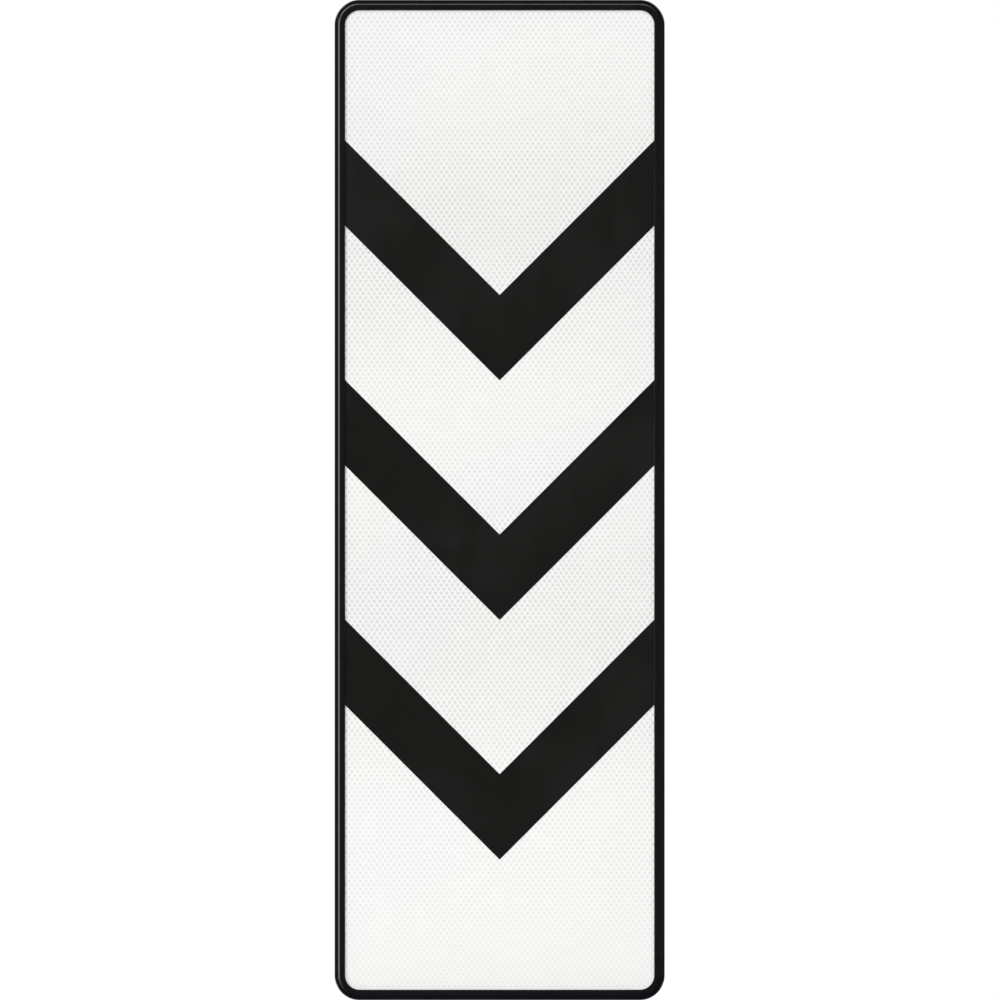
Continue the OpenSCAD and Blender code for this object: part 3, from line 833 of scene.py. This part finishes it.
half_w, half_h, half_field_w, half_field_h = [
    times(given[title], 0.5) for title in ("Cell Width", "Cell Height", "Field Width", "Field Height")]
columns = even_count(given["Field Width"], given["Cell Width"])
rows = even_count(given["Field Height"], given["Cell Height"])
grid = wire(tree, "GeometryNodeMeshGrid", {
    "Size X": times(columns, given["Cell Width"]), "Size Y": times(rows, given["Cell Height"]),
    "Vertices X": maths("ADD", columns, 1.0),
    "Vertices Y": maths("ADD", rows, 1.0)}).outputs["Mesh"]
half_cell = vector(X=half_w, Y=half_h)
shifted = wire(tree, "GeometryNodeTransform", {"Geometry": grid, "Translation": half_cell})
both_grids = wire(tree, "GeometryNodeJoinGeometry", {0: grid})
tree.links.new(shifted.outputs[0], both_grids.inputs[0])
standing = wire(tree, "GeometryNodeTransform", {
    "Geometry": both_grids.outputs[0], "Rotation": (math.pi / 2, 0, 0),
    "Translation": vector(Y=given["Pad Back"])}).outputs[0]
print("nodes for the grids:", len(tree.nodes))

# %% Sheet pads
spot = vectors("ABSOLUTE", wire(tree, "GeometryNodeInputPosition").outputs[0])
straight = vector(X=maths("SUBTRACT", half_field_w, given["Corner Radius"]), Y=1.0,
                  Z=maths("SUBTRACT", half_field_h, given["Corner Radius"]))
past = vectors("MAXIMUM", vectors("SUBTRACT", spot, straight), (0, 0, 0))
inside = maths("LESS_THAN", vectors("LENGTH", past), given["Corner Radius"])

pad_reach = maths("SUBTRACT", 1.0, given["Net Share"])
pad_top = maths("SUBTRACT", pad_reach, given["Net Share"])
pad = wire(tree, "GeometryNodeMeshCone", {
    "Vertices": 4, "Radius Bottom": pad_reach, "Radius Top": pad_top,
    "Depth": given["Relief"]}).outputs["Mesh"]
pad_size = vector(X=half_w, Y=half_h, Z=1.0)
pad = wire(tree, "GeometryNodeTransform", {
    "Geometry": pad, "Rotation": (math.pi / 2, 0, 0), "Scale": pad_size}).outputs[0]
pads = wire(tree, "GeometryNodeInstanceOnPoints", {"Points": standing, "Selection": inside, "Instance": pad})
real_pads = wire(tree, "GeometryNodeRealizeInstances", {"Geometry": pads.outputs[0]})
sheet_parts = wire(tree, "GeometryNodeJoinGeometry", {0: given["Geometry"]})
tree.links.new(real_pads.outputs[0], sheet_parts.inputs[0])
diamond_cells = close_tree(tree, sheet_parts.outputs[0], given["Finish"])

# %% [markdown]
# The finish reads the same grid. The middle of a cell looks into the prisms and sends less light to the
# side, so it is a soft grey; the net is bright. An image of such dots would blur close up, so they are
# made of waves. The dots show most in two broad bands across the sheet and least at its lower end, and
# they drift a little from place to place, as the picture shows. The tone is a trace warm, with cooler
# patches.

# %% Strength of the dots
CELL_W, CELL_H = 5.57, 8.1  # diamond cell, mm
BANDS, BAND_REACH = (270.0, -130.0), 190.0  # heights where the dots show most, and how far that reaches, mm
LOW_FADE = (-480.0 * MM, -350.0 * MM)  # heights between which they weaken, m
QUIET, LOW_END = 0.42, 0.24  # strength of the dots in most places, and at the lower end
BAND_GAIN, BAND_VEIL = 0.18, 0.055  # what a band adds to the dots, and to the net between them
DRIFT_SCALE, DRIFT_EDGE, UNEVEN_SCALE = 7.0, (0.3, 0.7), 190.0
DRIFT = (0.9, 1.1)  # least and most of each uneven factor

film_white, tree, shader = start_material("reflective_white", **{"Specular IOR Level": 0.35})
point = object_point(tree)
level = wire(tree, "ShaderNodeSeparateXYZ", {0: point}).outputs["Z"]
from_bands = [maths("ABSOLUTE", maths("SUBTRACT", level, band * MM)) for band in BANDS]
in_band = ramp(maths("MINIMUM", *from_bands), 0.0, BAND_REACH * MM, 1.0, 0.0)
strength = maths("MULTIPLY_ADD", in_band, BAND_GAIN, ramp(level, *LOW_FADE, LOW_END, QUIET))
drift = ramp(noise(point, DRIFT_SCALE, 2.0), *DRIFT_EDGE, *DRIFT)
each_cell = wire(tree, "ShaderNodeTexVoronoi", {"Vector": point, "Scale": UNEVEN_SCALE}).outputs["Color"]
uneven = ramp(wire(tree, "ShaderNodeSeparateColor", {0: each_cell}).outputs[0], 0.0, 1.0, *DRIFT)
dots = use_effect(tree, sheet_cells, Width=CELL_W * MM, Height=CELL_H * MM)
dots = times(dots, times(strength, times(drift, uneven)))
dots = maths("MULTIPLY_ADD", in_band, BAND_VEIL, dots)
print("nodes for the dots:", len(tree.nodes))

# %% Sheet finish
NET_TONE, COOL_TONE = (0.957, 0.955, 0.937), (0.953, 0.953, 0.951)
DOT_TONE, SOIL_TONE = (0.50, 0.50, 0.49), (0.80, 0.80, 0.79)
COOL_SCALE, COOL_PATCH = 4.5, (0.5, 0.64)
SOIL = {"Scale": 9.0, "Amount": 0.06}
PRISM_SCALE, PRISM_BUMP = 2400.0, (0.25, 0.02)  # the bump's strength and its height, mm
SHEET_ROUGH = (0.0, 0.6, 0.34, 0.46)  # weakest and strongest dots, and the roughness of each

net = blend_colours(ramp(noise(point, COOL_SCALE, 1.0), *COOL_PATCH), NET_TONE, COOL_TONE)
soil = use_effect(tree, handling_marks, **SOIL)
base = blend_colours(soil, blend_colours(dots, net, DOT_TONE), SOIL_TONE)
prisms = use_effect(tree, fine_grain, Scale=PRISM_SCALE)
fill_shader(shader, base, ramp(dots, *SHEET_ROUGH), prisms, *PRISM_BUMP)
print("sheet finish nodes:", len(tree.nodes))

# %% Sheet piece
RELIEF, SUNK = 0.05, 0.02  # height of a pad over the slab, and its depth in the slab
SHEET_R, SHEET_CHAMFER = 21.0, 0.03
BARE_SIDE, BARE_END, BARE_CORNER = 3.5, 4.5, 4.0  # margins without pads
NET_SHARE = 0.09  # width of the net, as a share of half a cell

sheet_low, sheet_high = (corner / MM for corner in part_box("reflective_sheet"))
slab_outline = rounded_box((-sheet_high.x, -sheet_high.z), (sheet_high.x, sheet_high.z), SHEET_R)
slab_front = sheet_low.y + RELIEF
sheet = pulled_piece("reflective_sheet_cells", film_white, slab_outline,
                     bar_stations(slab_front, sheet_high.y, SHEET_CHAMFER), lambda u, v, s: (u, s, v))
grow(sheet, diamond_cells, Cell_Width=CELL_W * MM, Cell_Height=CELL_H * MM, Relief=(RELIEF + SUNK) * MM,
     Net_Share=NET_SHARE, Field_Width=2 * (sheet_high.x - BARE_SIDE) * MM,
     Field_Height=2 * (sheet_high.z - BARE_END) * MM, Corner_Radius=(SHEET_R - BARE_CORNER) * MM,
     Pad_Back=(slab_front + SUNK) * MM, Finish=film_white)
mount(sheet, "panel", "reflective_film", "reflective_sheet")

# %% [markdown]
# ## Chevrons and face plate
# The chevrons are thin black films, and the plate behind is a flat sheet of aluminium. Their solids are
# already right, so they stay and only get a finish. The black film is satin, and the cells of the sheet
# under it print through as a faint relief.

# %% Chevron finish
CHEVRON_TONES = (0.0037, 0.0037, 0.0023), (0.0045, 0.0045, 0.0030)
CHEVRON_ROUGH = (0.0, 0.6, 0.28, 0.36)  # weakest and strongest smears, and the roughness of each
CLOUD_SCALE, PEEL_SCALE, PRINT_THROUGH = 26.0, 1100.0, 0.35
FILM_SMEARS, FILM_BUMP = {"Scale": 10.0, "Amount": 0.6}, (0.3, 0.01)

chevron_black, tree, shader = start_material("chevron_black", **{"Specular IOR Level": 0.32})
point = object_point(tree)
base = blend_colours(noise(point, CLOUD_SCALE, 4.0), *CHEVRON_TONES)
smears = use_effect(tree, handling_marks, **FILM_SMEARS)
peel = noise(point, PEEL_SCALE, 2.0)
dots = times(use_effect(tree, sheet_cells, Width=CELL_W * MM, Height=CELL_H * MM), PRINT_THROUGH)
height = maths("ADD", peel, dots)
fill_shader(shader, base, ramp(smears, *CHEVRON_ROUGH), height, *FILM_BUMP)
print("chevron finish nodes:", len(tree.nodes))

# %% Chevrons and face plate
mill_plate = make_finish("mill_aluminium", (0.76, 0.77, 0.78), (0.60, 0.61, 0.625),
                         (0.30, 0.50), (1300, 1300, 9), 1800.0, 0.004, marks=0.35)


def dress(node, material):
    """Gives a CAD node that stays its finish."""
    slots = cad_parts[node].data.materials
    for k in range(len(slots)):
        slots[k] = material
    print(node, "gets", material.name)


for node in ("chevron_upper", "chevron_middle", "chevron_lower"):
    dress(node, chevron_black)
dress("face_plate", mill_plate)

# %% [markdown]
# ## Rails
# The two rails are extruded aluminium channels with inturned lips. A bevel on the solid would round all
# edges alike, but an extrusion has large outer and small inner radii, so they are pulled from an outline
# as the edge profile is. The drawn lines of the finish run along the rail.

# %% Rails
rail_finish = make_finish("extruded_aluminium", (0.74, 0.75, 0.77), (0.60, 0.61, 0.63),
                          (0.26, 0.42), (9, 1500, 1500), 2000.0, 0.005, marks=0.6,
                          worn=(0.35, (0.86, 0.87, 0.88)))
RAIL_HALF, RAIL_D, RAIL_T, SLOT_HALF = 14.0, 15.0, 2.2, 6.0
RAIL_OUTER_R, RAIL_LIP_R, RAIL_TIP_R, RAIL_INNER_R = 1.2, 0.4, 0.3, 0.5
RAIL_CHAMFER = 0.3
LEVELS = (("upper", RAIL_Z), ("lower", -RAIL_Z))
rail_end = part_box("upper_rail")[1].x / MM

rail_ring = []
for up in ENDS:
    half = [(0, up * RAIL_HALF, RAIL_OUTER_R), (RAIL_D, up * RAIL_HALF, RAIL_OUTER_R),
            (RAIL_D, up * SLOT_HALF, RAIL_LIP_R), (RAIL_D - RAIL_T, up * SLOT_HALF, RAIL_LIP_R),
            (RAIL_D - RAIL_T, up * (RAIL_HALF - RAIL_T), RAIL_TIP_R),
            (RAIL_T, up * (RAIL_HALF - RAIL_T), RAIL_INNER_R)]
    rail_ring += half if up < 0 else half[::-1]
rail_outline = rounded_outline(rail_ring)

rail_stations = bar_stations(-rail_end, rail_end, RAIL_CHAMFER)
for level, z in LEVELS:
    rail = pulled_piece(f"{level}_rail_extrusion", rail_finish, rail_outline, rail_stations,
                        lambda u, v, s: (s, BACK_Y + u, z + v))
    holes = [hole_through(end * RAIL_RIVET_X, z, RAIL_RIVET, BACK_Y + RAIL_T / 2, RAIL_T) for end in ENDS]
    mount(polish(drill(rail, holes)), "panel", "rail", f"{level}_rail")

# %% [markdown]
# ## Rivets
# A blind rivet has a low domed head with a dimple, where the pulled pin broke off, and a bulb on the blind
# side. Each could be a piece of its own, but Geometry Nodes set one turned rivet of each size on a list of
# points, so that one more rivet is only one more point. Each is spun by a random angle from a fixed seed.

# %% Rivet tree
tree, given = geometry_tree("set_rivets", Rivet="Object", Size="Float", Seed="Int", Finish="Material")
spin = wire(tree, "FunctionNodeRandomValue", {"Seed": given["Seed"]}, data_type="FLOAT")
spin_value = next(socket for socket in spin.outputs if socket.enabled)
spun = wire(tree, "FunctionNodeEulerToRotation", {0: vector(Y=times(spin_value, 2 * math.pi))})
shape = wire(tree, "GeometryNodeObjectInfo", {"Object": given["Rivet"]}).outputs["Geometry"]
placed = wire(tree, "GeometryNodeInstanceOnPoints", {
    "Points": given["Geometry"], "Instance": shape, "Rotation": spun.outputs[0],
    "Scale": vector(X=given["Size"], Y=given["Size"], Z=given["Size"])}).outputs[0]
real = wire(tree, "GeometryNodeRealizeInstances", {"Geometry": placed}).outputs[0]
set_rivets = close_tree(tree, real, given["Finish"])

# %% Rivet shape
RIVET_COLUMNS, RIVET_CRISP = 36, 50


def rivet_outline(grip, bulb):
    """Half section of a rivet with a shank one unit thick: blind end, shank, domed head, dimple and pin."""
    head_r, head_h, dimple_r, dimple_h = 0.975, 0.34, 0.25, 0.136
    dome_r = (head_r ** 2 + head_h ** 2) / (2 * head_h)
    dome = [(r, math.sqrt(dome_r ** 2 - r ** 2) - dome_r + head_h)
            for r in (0.95, 0.88, 0.78, 0.66, 0.54, 0.42, 0.33)]
    blind = [(0, -grip), (0.42, -grip), (0.5, 0.08 - grip)]
    if bulb:
        blind = [(0, -grip - bulb), (0.3, -grip - bulb), (0.62, -grip - 0.9 * bulb),
                 (0.725, -grip - 0.6 * bulb), (0.7, -grip - 0.2 * bulb), (0.55, -grip), (0.5, 0.02 - grip)]
    return blind + [(0.5, 0), (0.955, 0), (head_r, 0.02), *dome, (0.28, 0.325), (dimple_r, 0.3),
                    (dimple_r, dimple_h), (0.17, dimple_h), (0.15, dimple_h + 0.07), (0, dimple_h + 0.09)]


def rivet_set(name, outline, size, points, material, slot, seed, node):
    """Sets one turned rivet on a list of points."""
    bm = bmesh.new()
    turn_round(bm, [(r / MM, h / MM) for r, h in outline], (0, 0, 0), columns=RIVET_COLUMNS)
    pattern = piece_from(bm, name + "_pattern")
    bm = bmesh.new()
    for spot in points:
        bm.verts.new(Vector(spot) * MM)
    rivets = piece_from(bm, name, material)
    grow(rivets, set_rivets, Rivet=pattern, Size=size * MM, Seed=seed, Finish=material)
    bpy.data.objects.remove(pattern)
    return mount(polish(rivets, RIVET_CRISP), "panel", slot, node)


print("points of a rivet's half section:", len(rivet_outline(1, 1)))

# %% Rivets
rivet_black = make_finish("black_rivet", (0.012, 0.012, 0.014), (0.02, 0.02, 0.022),
                          (0.28, 0.42), (900, 900, 900), 2500.0, 0.004,
                          worn=(0.5, (0.35, 0.35, 0.36)), metallic=0.0)
rivet_metal = make_finish("rivet_aluminium", (0.80, 0.80, 0.81), (0.66, 0.66, 0.68),
                          (0.22, 0.36), (900, 300, 900), 2500.0, 0.004, worn=(0.4, (0.9, 0.9, 0.9)))
CORNER_GRIP, RAIL_GRIP, RAIL_BULB = 2.75, 0.875, 1.1  # in diameters of the shank
CORNER_SEED, RAIL_SEED = 4, 9

signs = [(x, z) for x in ENDS for z in ENDS]
corner_spots = [(x * (HALF_W - RIVET_U), BACK_Y, z * (side_reach - RIVET_STEP)) for x, z in signs]
corner_spots += [(x * (end_reach - RIVET_STEP), BACK_Y, z * (HALF_H - RIVET_U)) for x, z in signs]
rail_spots = [(x * RAIL_RIVET_X, BACK_Y + RAIL_T, z * RAIL_Z) for x, z in signs]
rivet_set("corner_rivet_set", rivet_outline(CORNER_GRIP, 0), CORNER_RIVET, corner_spots,
          rivet_black, "black_rivet", CORNER_SEED, "corner_rivets")
rivet_set("rail_rivet_set", rivet_outline(RAIL_GRIP, RAIL_BULB), RAIL_RIVET, rail_spots,
          rivet_metal, "rivet", RAIL_SEED, "rail_rivets")

# %% [markdown]
# ## Clamp saddles and straps
# The saddle is cast aluminium, and the strap is bent from zinc-coated flat steel. Their solids have the
# right form with sharp edges, so a copy of each is joined into one skin, and a Bevel modifier rounds its
# edges as casting and pressing do. Zinc sets in small crystals, each with its own grey.

# %% Saddle and strap finishes
cast_finish = make_finish("cast_aluminium", (0.66, 0.665, 0.67), (0.50, 0.505, 0.515),
                          (0.40, 0.58), (420, 420, 420), 1300.0, 0.02, marks=0.6,
                          worn=(0.5, (0.82, 0.82, 0.83)))
CRYSTAL_SCALE, ZINC_GRAIN, ZINC_WEAR = 210.0, 1500.0, 0.5
ZINC_SMEARS, ZINC_BUMP = {"Scale": 18.0, "Amount": 0.35}, (0.4, 0.01)
CRYSTAL_TONES = (0.54, 0.56, 0.58), (0.72, 0.74, 0.755)
SMEAR_TONE, RUBBED_TONE = (0.47, 0.48, 0.49), (0.80, 0.81, 0.82)
ZINC_ROUGH = (0.0, 1.5, 0.28, 0.52)  # least and most of crystals and smears, and the roughness of each

zinc_finish, tree, shader = start_material("zinc_coat", **{"Metallic": 1.0})
crystals = wire(tree, "ShaderNodeTexVoronoi", {"Vector": object_point(tree), "Scale": CRYSTAL_SCALE})
crystal_tone = wire(tree, "ShaderNodeSeparateColor", {0: crystals.outputs["Color"]}).outputs[0]
smears = use_effect(tree, handling_marks, **ZINC_SMEARS)
base = blend_colours(crystal_tone, *CRYSTAL_TONES)
base = blend_colours(smears, base, SMEAR_TONE)
base = blend_colours(use_effect(tree, worn_edges, Amount=ZINC_WEAR), base, RUBBED_TONE)
roughness = ramp(maths("ADD", crystal_tone, smears), *ZINC_ROUGH)
height = maths("ADD", crystal_tone, use_effect(tree, fine_grain, Scale=ZINC_GRAIN))
fill_shader(shader, base, roughness, height, *ZINC_BUMP)
print("zinc finish nodes:", len(tree.nodes))

# %% Saddles and straps
SADDLE_EDGE, STRAP_EDGE = 0.55, 0.45  # width of the rounded edges, mm
LOOSE_POINT = 2e-6  # a solid's loose corners closer than this are one, m
FLAT_BEND, EDGE_BEND = math.radians(0.5), math.radians(28)


def rounded_copy(node, name, width, material):
    """A copy of a CAD node whose loose triangles are joined and whose edges are rounded."""
    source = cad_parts[node].data
    mesh = bpy.data.meshes.new(name)
    mesh.from_pydata([v.co[:] for v in source.vertices], [], [p.vertices[:] for p in source.polygons])
    bm = bmesh.new()
    bm.from_mesh(mesh)
    bmesh.ops.remove_doubles(bm, verts=bm.verts, dist=LOOSE_POINT)
    bmesh.ops.dissolve_limit(bm, angle_limit=FLAT_BEND, verts=bm.verts, edges=bm.edges)
    copy = piece_from(bm, name, material)
    rounding = copy.modifiers.new("rounded_edges", "BEVEL")
    rounding.width, rounding.segments = width * MM, 3
    rounding.limit_method, rounding.angle_limit = "ANGLE", EDGE_BEND
    return settle(copy)


for level, z in LEVELS:
    saddle = rounded_copy(f"{level}_clamp_saddle", f"{level}_saddle_casting", SADDLE_EDGE, cast_finish)
    mount(polish(saddle), f"{level}_clamp", "saddle", f"{level}_clamp_saddle")
    strap = rounded_copy(f"{level}_clamp_strap", f"{level}_strap_bent", STRAP_EDGE, zinc_finish)
    mount(polish(strap), f"{level}_strap", "strap", f"{level}_clamp_strap")

# %% [markdown]
# ## Clamp bolts
# The bolts have a hammer head that lies across the inside of the rail, and an M8 thread. The Screw
# modifier can sweep a thread, but it ends bluntly, so the thread is a grid of points that climbs one pitch
# for each turn and runs out smoothly at both ends. Every row keeps its place in the thread's section, and
# the last column of a turn meets the first of the next.

# %% Thread
PITCH, ROOT_R, CREST_R, SHANK_R = 1.25, 3.24, 3.97, 3.95
THREAD_SECTION = ((0.0, 0.0), (0.2, 0.0), (0.52, 1.0), (0.68, 1.0))  # shares of the pitch and of the height
NECK, RUN_OUT = 0.6, 0.8 * PITCH  # from the plain shank to the thread, and the thread's fade at its tip


def threaded_shank(bm, centre, start, thread_start, stop, columns=32):
    """A closed shank along Y: plain from start to thread_start, then threaded to stop."""
    rows = [[(radius, y)] * (columns + 1) for radius, y in
            ((0, start), (SHANK_R, start), (SHANK_R, thread_start - NECK))]
    for turn in range(math.ceil((stop - thread_start) / PITCH) + 2):
        for share, height in THREAD_SECTION:
            row = []
            for k in range(columns + 1):
                y = thread_start + (turn - 1 + share + k / columns) * PITCH
                y = min(stop, max(thread_start, y))
                fade = min(1.0, (y - thread_start) / PITCH, (stop - y) / RUN_OUT)
                row.append((ROOT_R + (CREST_R - ROOT_R) * height * fade, y))
            rows.append(row)
    rows.append([(0, stop)] * (columns + 1))
    angles = [2 * math.pi * (k % columns) / columns for k in range(columns + 1)]
    verts = [[bm.verts.new((Vector(centre) + Vector((r * math.cos(a), y, r * math.sin(a)))) * MM)
              for a, (r, y) in zip(angles, row)] for row in rows]
    for low, high in zip(verts, verts[1:]):
        for k in range(columns):
            bm.faces.new((low[k], low[k + 1], high[k + 1], high[k]))


print("depth of the thread, mm:", round(CREST_R - ROOT_R, 2))

# %% Bolts
steel_finish = make_finish("bolt_steel", (0.70, 0.70, 0.695), (0.56, 0.56, 0.56),
                           (0.22, 0.36), (500, 1600, 500), 2600.0, 0.003,
                           worn=(0.4, (0.84, 0.84, 0.83)))
BOLT_X, HEAD_Y, HEAD_T, BOLT_LEN, PLAIN_LEN = 39.0, -30.65, 4.0, 40.0, 9.0
HEAD_HALF_W, HEAD_R, HEAD_CHAMFER, HEAD_STEPS = 5.25, 11.0, 0.4, 6
FASTENER_CRISP = 30

head_arc = math.asin(HEAD_HALF_W / HEAD_R)
head_outline = [Vector((up * HEAD_R * math.sin(angle), up * HEAD_R * math.cos(angle)))
                for up in (1, -1)
                for angle in [head_arc * (k / HEAD_STEPS - 1) for k in range(2 * HEAD_STEPS + 1)]]

for level, z in LEVELS:
    bm = bmesh.new()
    for side in ENDS:
        threaded_shank(bm, (side * BOLT_X, 0, z), HEAD_Y - HEAD_T / 2, HEAD_Y + PLAIN_LEN, HEAD_Y + BOLT_LEN)
        pull(bm, head_outline, bar_stations(HEAD_Y - HEAD_T, HEAD_Y, HEAD_CHAMFER),
             lambda u, v, s: (side * BOLT_X + u, s, z + v))
    bolts = piece_from(bm, f"{level}_hammer_bolts", steel_finish)
    mount(polish(bolts, FASTENER_CRISP), f"{level}_clamp", "bolt", f"{level}_clamp_bolts")

# %% [markdown]
# ## Washers and lock nuts
# Washers are stamped, so one face has a rounded edge. A lock nut is a hexagon with both ends chamfered,
# under a round collar that is rolled over a nylon ring. A Boolean of a prism and a cone would give such
# chamfers too, but a nut turned like the rest, with its radius held back to the flats, keeps clean rows of
# faces.

# %% Washers
washer_finish = make_finish("washer_steel", (0.71, 0.71, 0.70), (0.57, 0.57, 0.57),
                            (0.24, 0.40), (700, 700, 700), 2000.0, 0.004, marks=0.6,
                            worn=(0.4, (0.84, 0.84, 0.83)))
WASHER_Y, WASHER_T, WASHER_COLUMNS = -15.25, 1.6, 64
washer_section = [(4.35, 0), (7.85, 0), (8.0, 0.12), (8.0, 1.15), (7.93, 1.38), (7.75, 1.54),
                  (7.5, WASHER_T), (4.45, WASHER_T), (4.25, 1.45), (4.2, 1.25), (4.2, 0.15)]


def washer_pair(level, z):
    """The two washers of one clamp."""
    bm = bmesh.new()
    for side in ENDS:
        turn_round(bm, washer_section, (side * BOLT_X, WASHER_Y, z), WASHER_COLUMNS, closed=True)
    washers = piece_from(bm, f"{level}_washers", washer_finish)
    return mount(polish(washers), f"{level}_strap", "washer", f"{level}_clamp_washers")


list_helpers(washer_pair)

# %% Lock nuts, and all washers and nuts in place
nut_finish = make_finish("nut_steel", (0.69, 0.69, 0.68), (0.54, 0.54, 0.54),
                         (0.22, 0.36), (600, 600, 600), 2400.0, 0.004,
                         worn=(0.5, (0.85, 0.85, 0.84)))
nylon = make_finish("nylon_ring", (0.62, 0.64, 0.66), (0.54, 0.56, 0.58),
                    (0.42, 0.55), (400, 400, 400), 1500.0, 0.006, metallic=0.0)
NUT_Y, NUT_COLUMNS = WASHER_Y + WASHER_T, 96
FLAT_R, TOP_R = 6.5, 7.42  # hexagon: middle to flat, and to its slightly broken corners
hexagon_rows = [(4.6, 0), (6.35, 0), (6.75, 0.23), (7.1, 0.43), (TOP_R, 0.62), (TOP_R, 5.3), (7.25, 5.52),
                (7.0, 5.68), (6.7, 5.86), (6.4, 6.02), (5.95, 6.16)]
collar_rows = [(5.66, 6.24), (5.59, 6.4), (5.59, 7.2), (5.5, 7.55), (5.3, 7.82), (5.05, 7.95), (4.85, 8.0),
               (4.75, 7.92)]
nylon_rows = [(4.7, 7.75), (4.3, 7.7), (4.12, 7.6), (4.05, 7.4)]
bore_rows = [(4.05, 0.5)]


def flats(angle):
    """Distance from the middle of the nut to its side, with corners on the X axis."""
    return FLAT_R / math.cos(angle % (math.pi / 3) - math.pi / 6)


def lock_nut(level, z, side, hand):
    """One nut, whose ring of nylon has the second finish."""
    bm = bmesh.new()
    made = turn_round(bm, nut_section, (side * BOLT_X, NUT_Y, z), NUT_COLUMNS, closed=True, limit=flats)
    for face in made[nylon_start:nylon_stop]:
        face.material_index = 1
    nut = piece_from(bm, f"{level}_{hand}_lock_nut", nut_finish, nylon)
    return mount(polish(nut, FASTENER_CRISP), f"{level}_{hand}_nut", "nut", f"{level}_clamp_{hand}_nut")


steel_rows = hexagon_rows + collar_rows
nut_section = steel_rows + nylon_rows + bore_rows
nylon_start = len(steel_rows) * NUT_COLUMNS
nylon_stop = nylon_start + (len(nylon_rows) - 1) * NUT_COLUMNS
for level, z in LEVELS:
    washer_pair(level, z)
    for side, hand in ((-1, "left"), (1, "right")):
        lock_nut(level, z, side, hand)
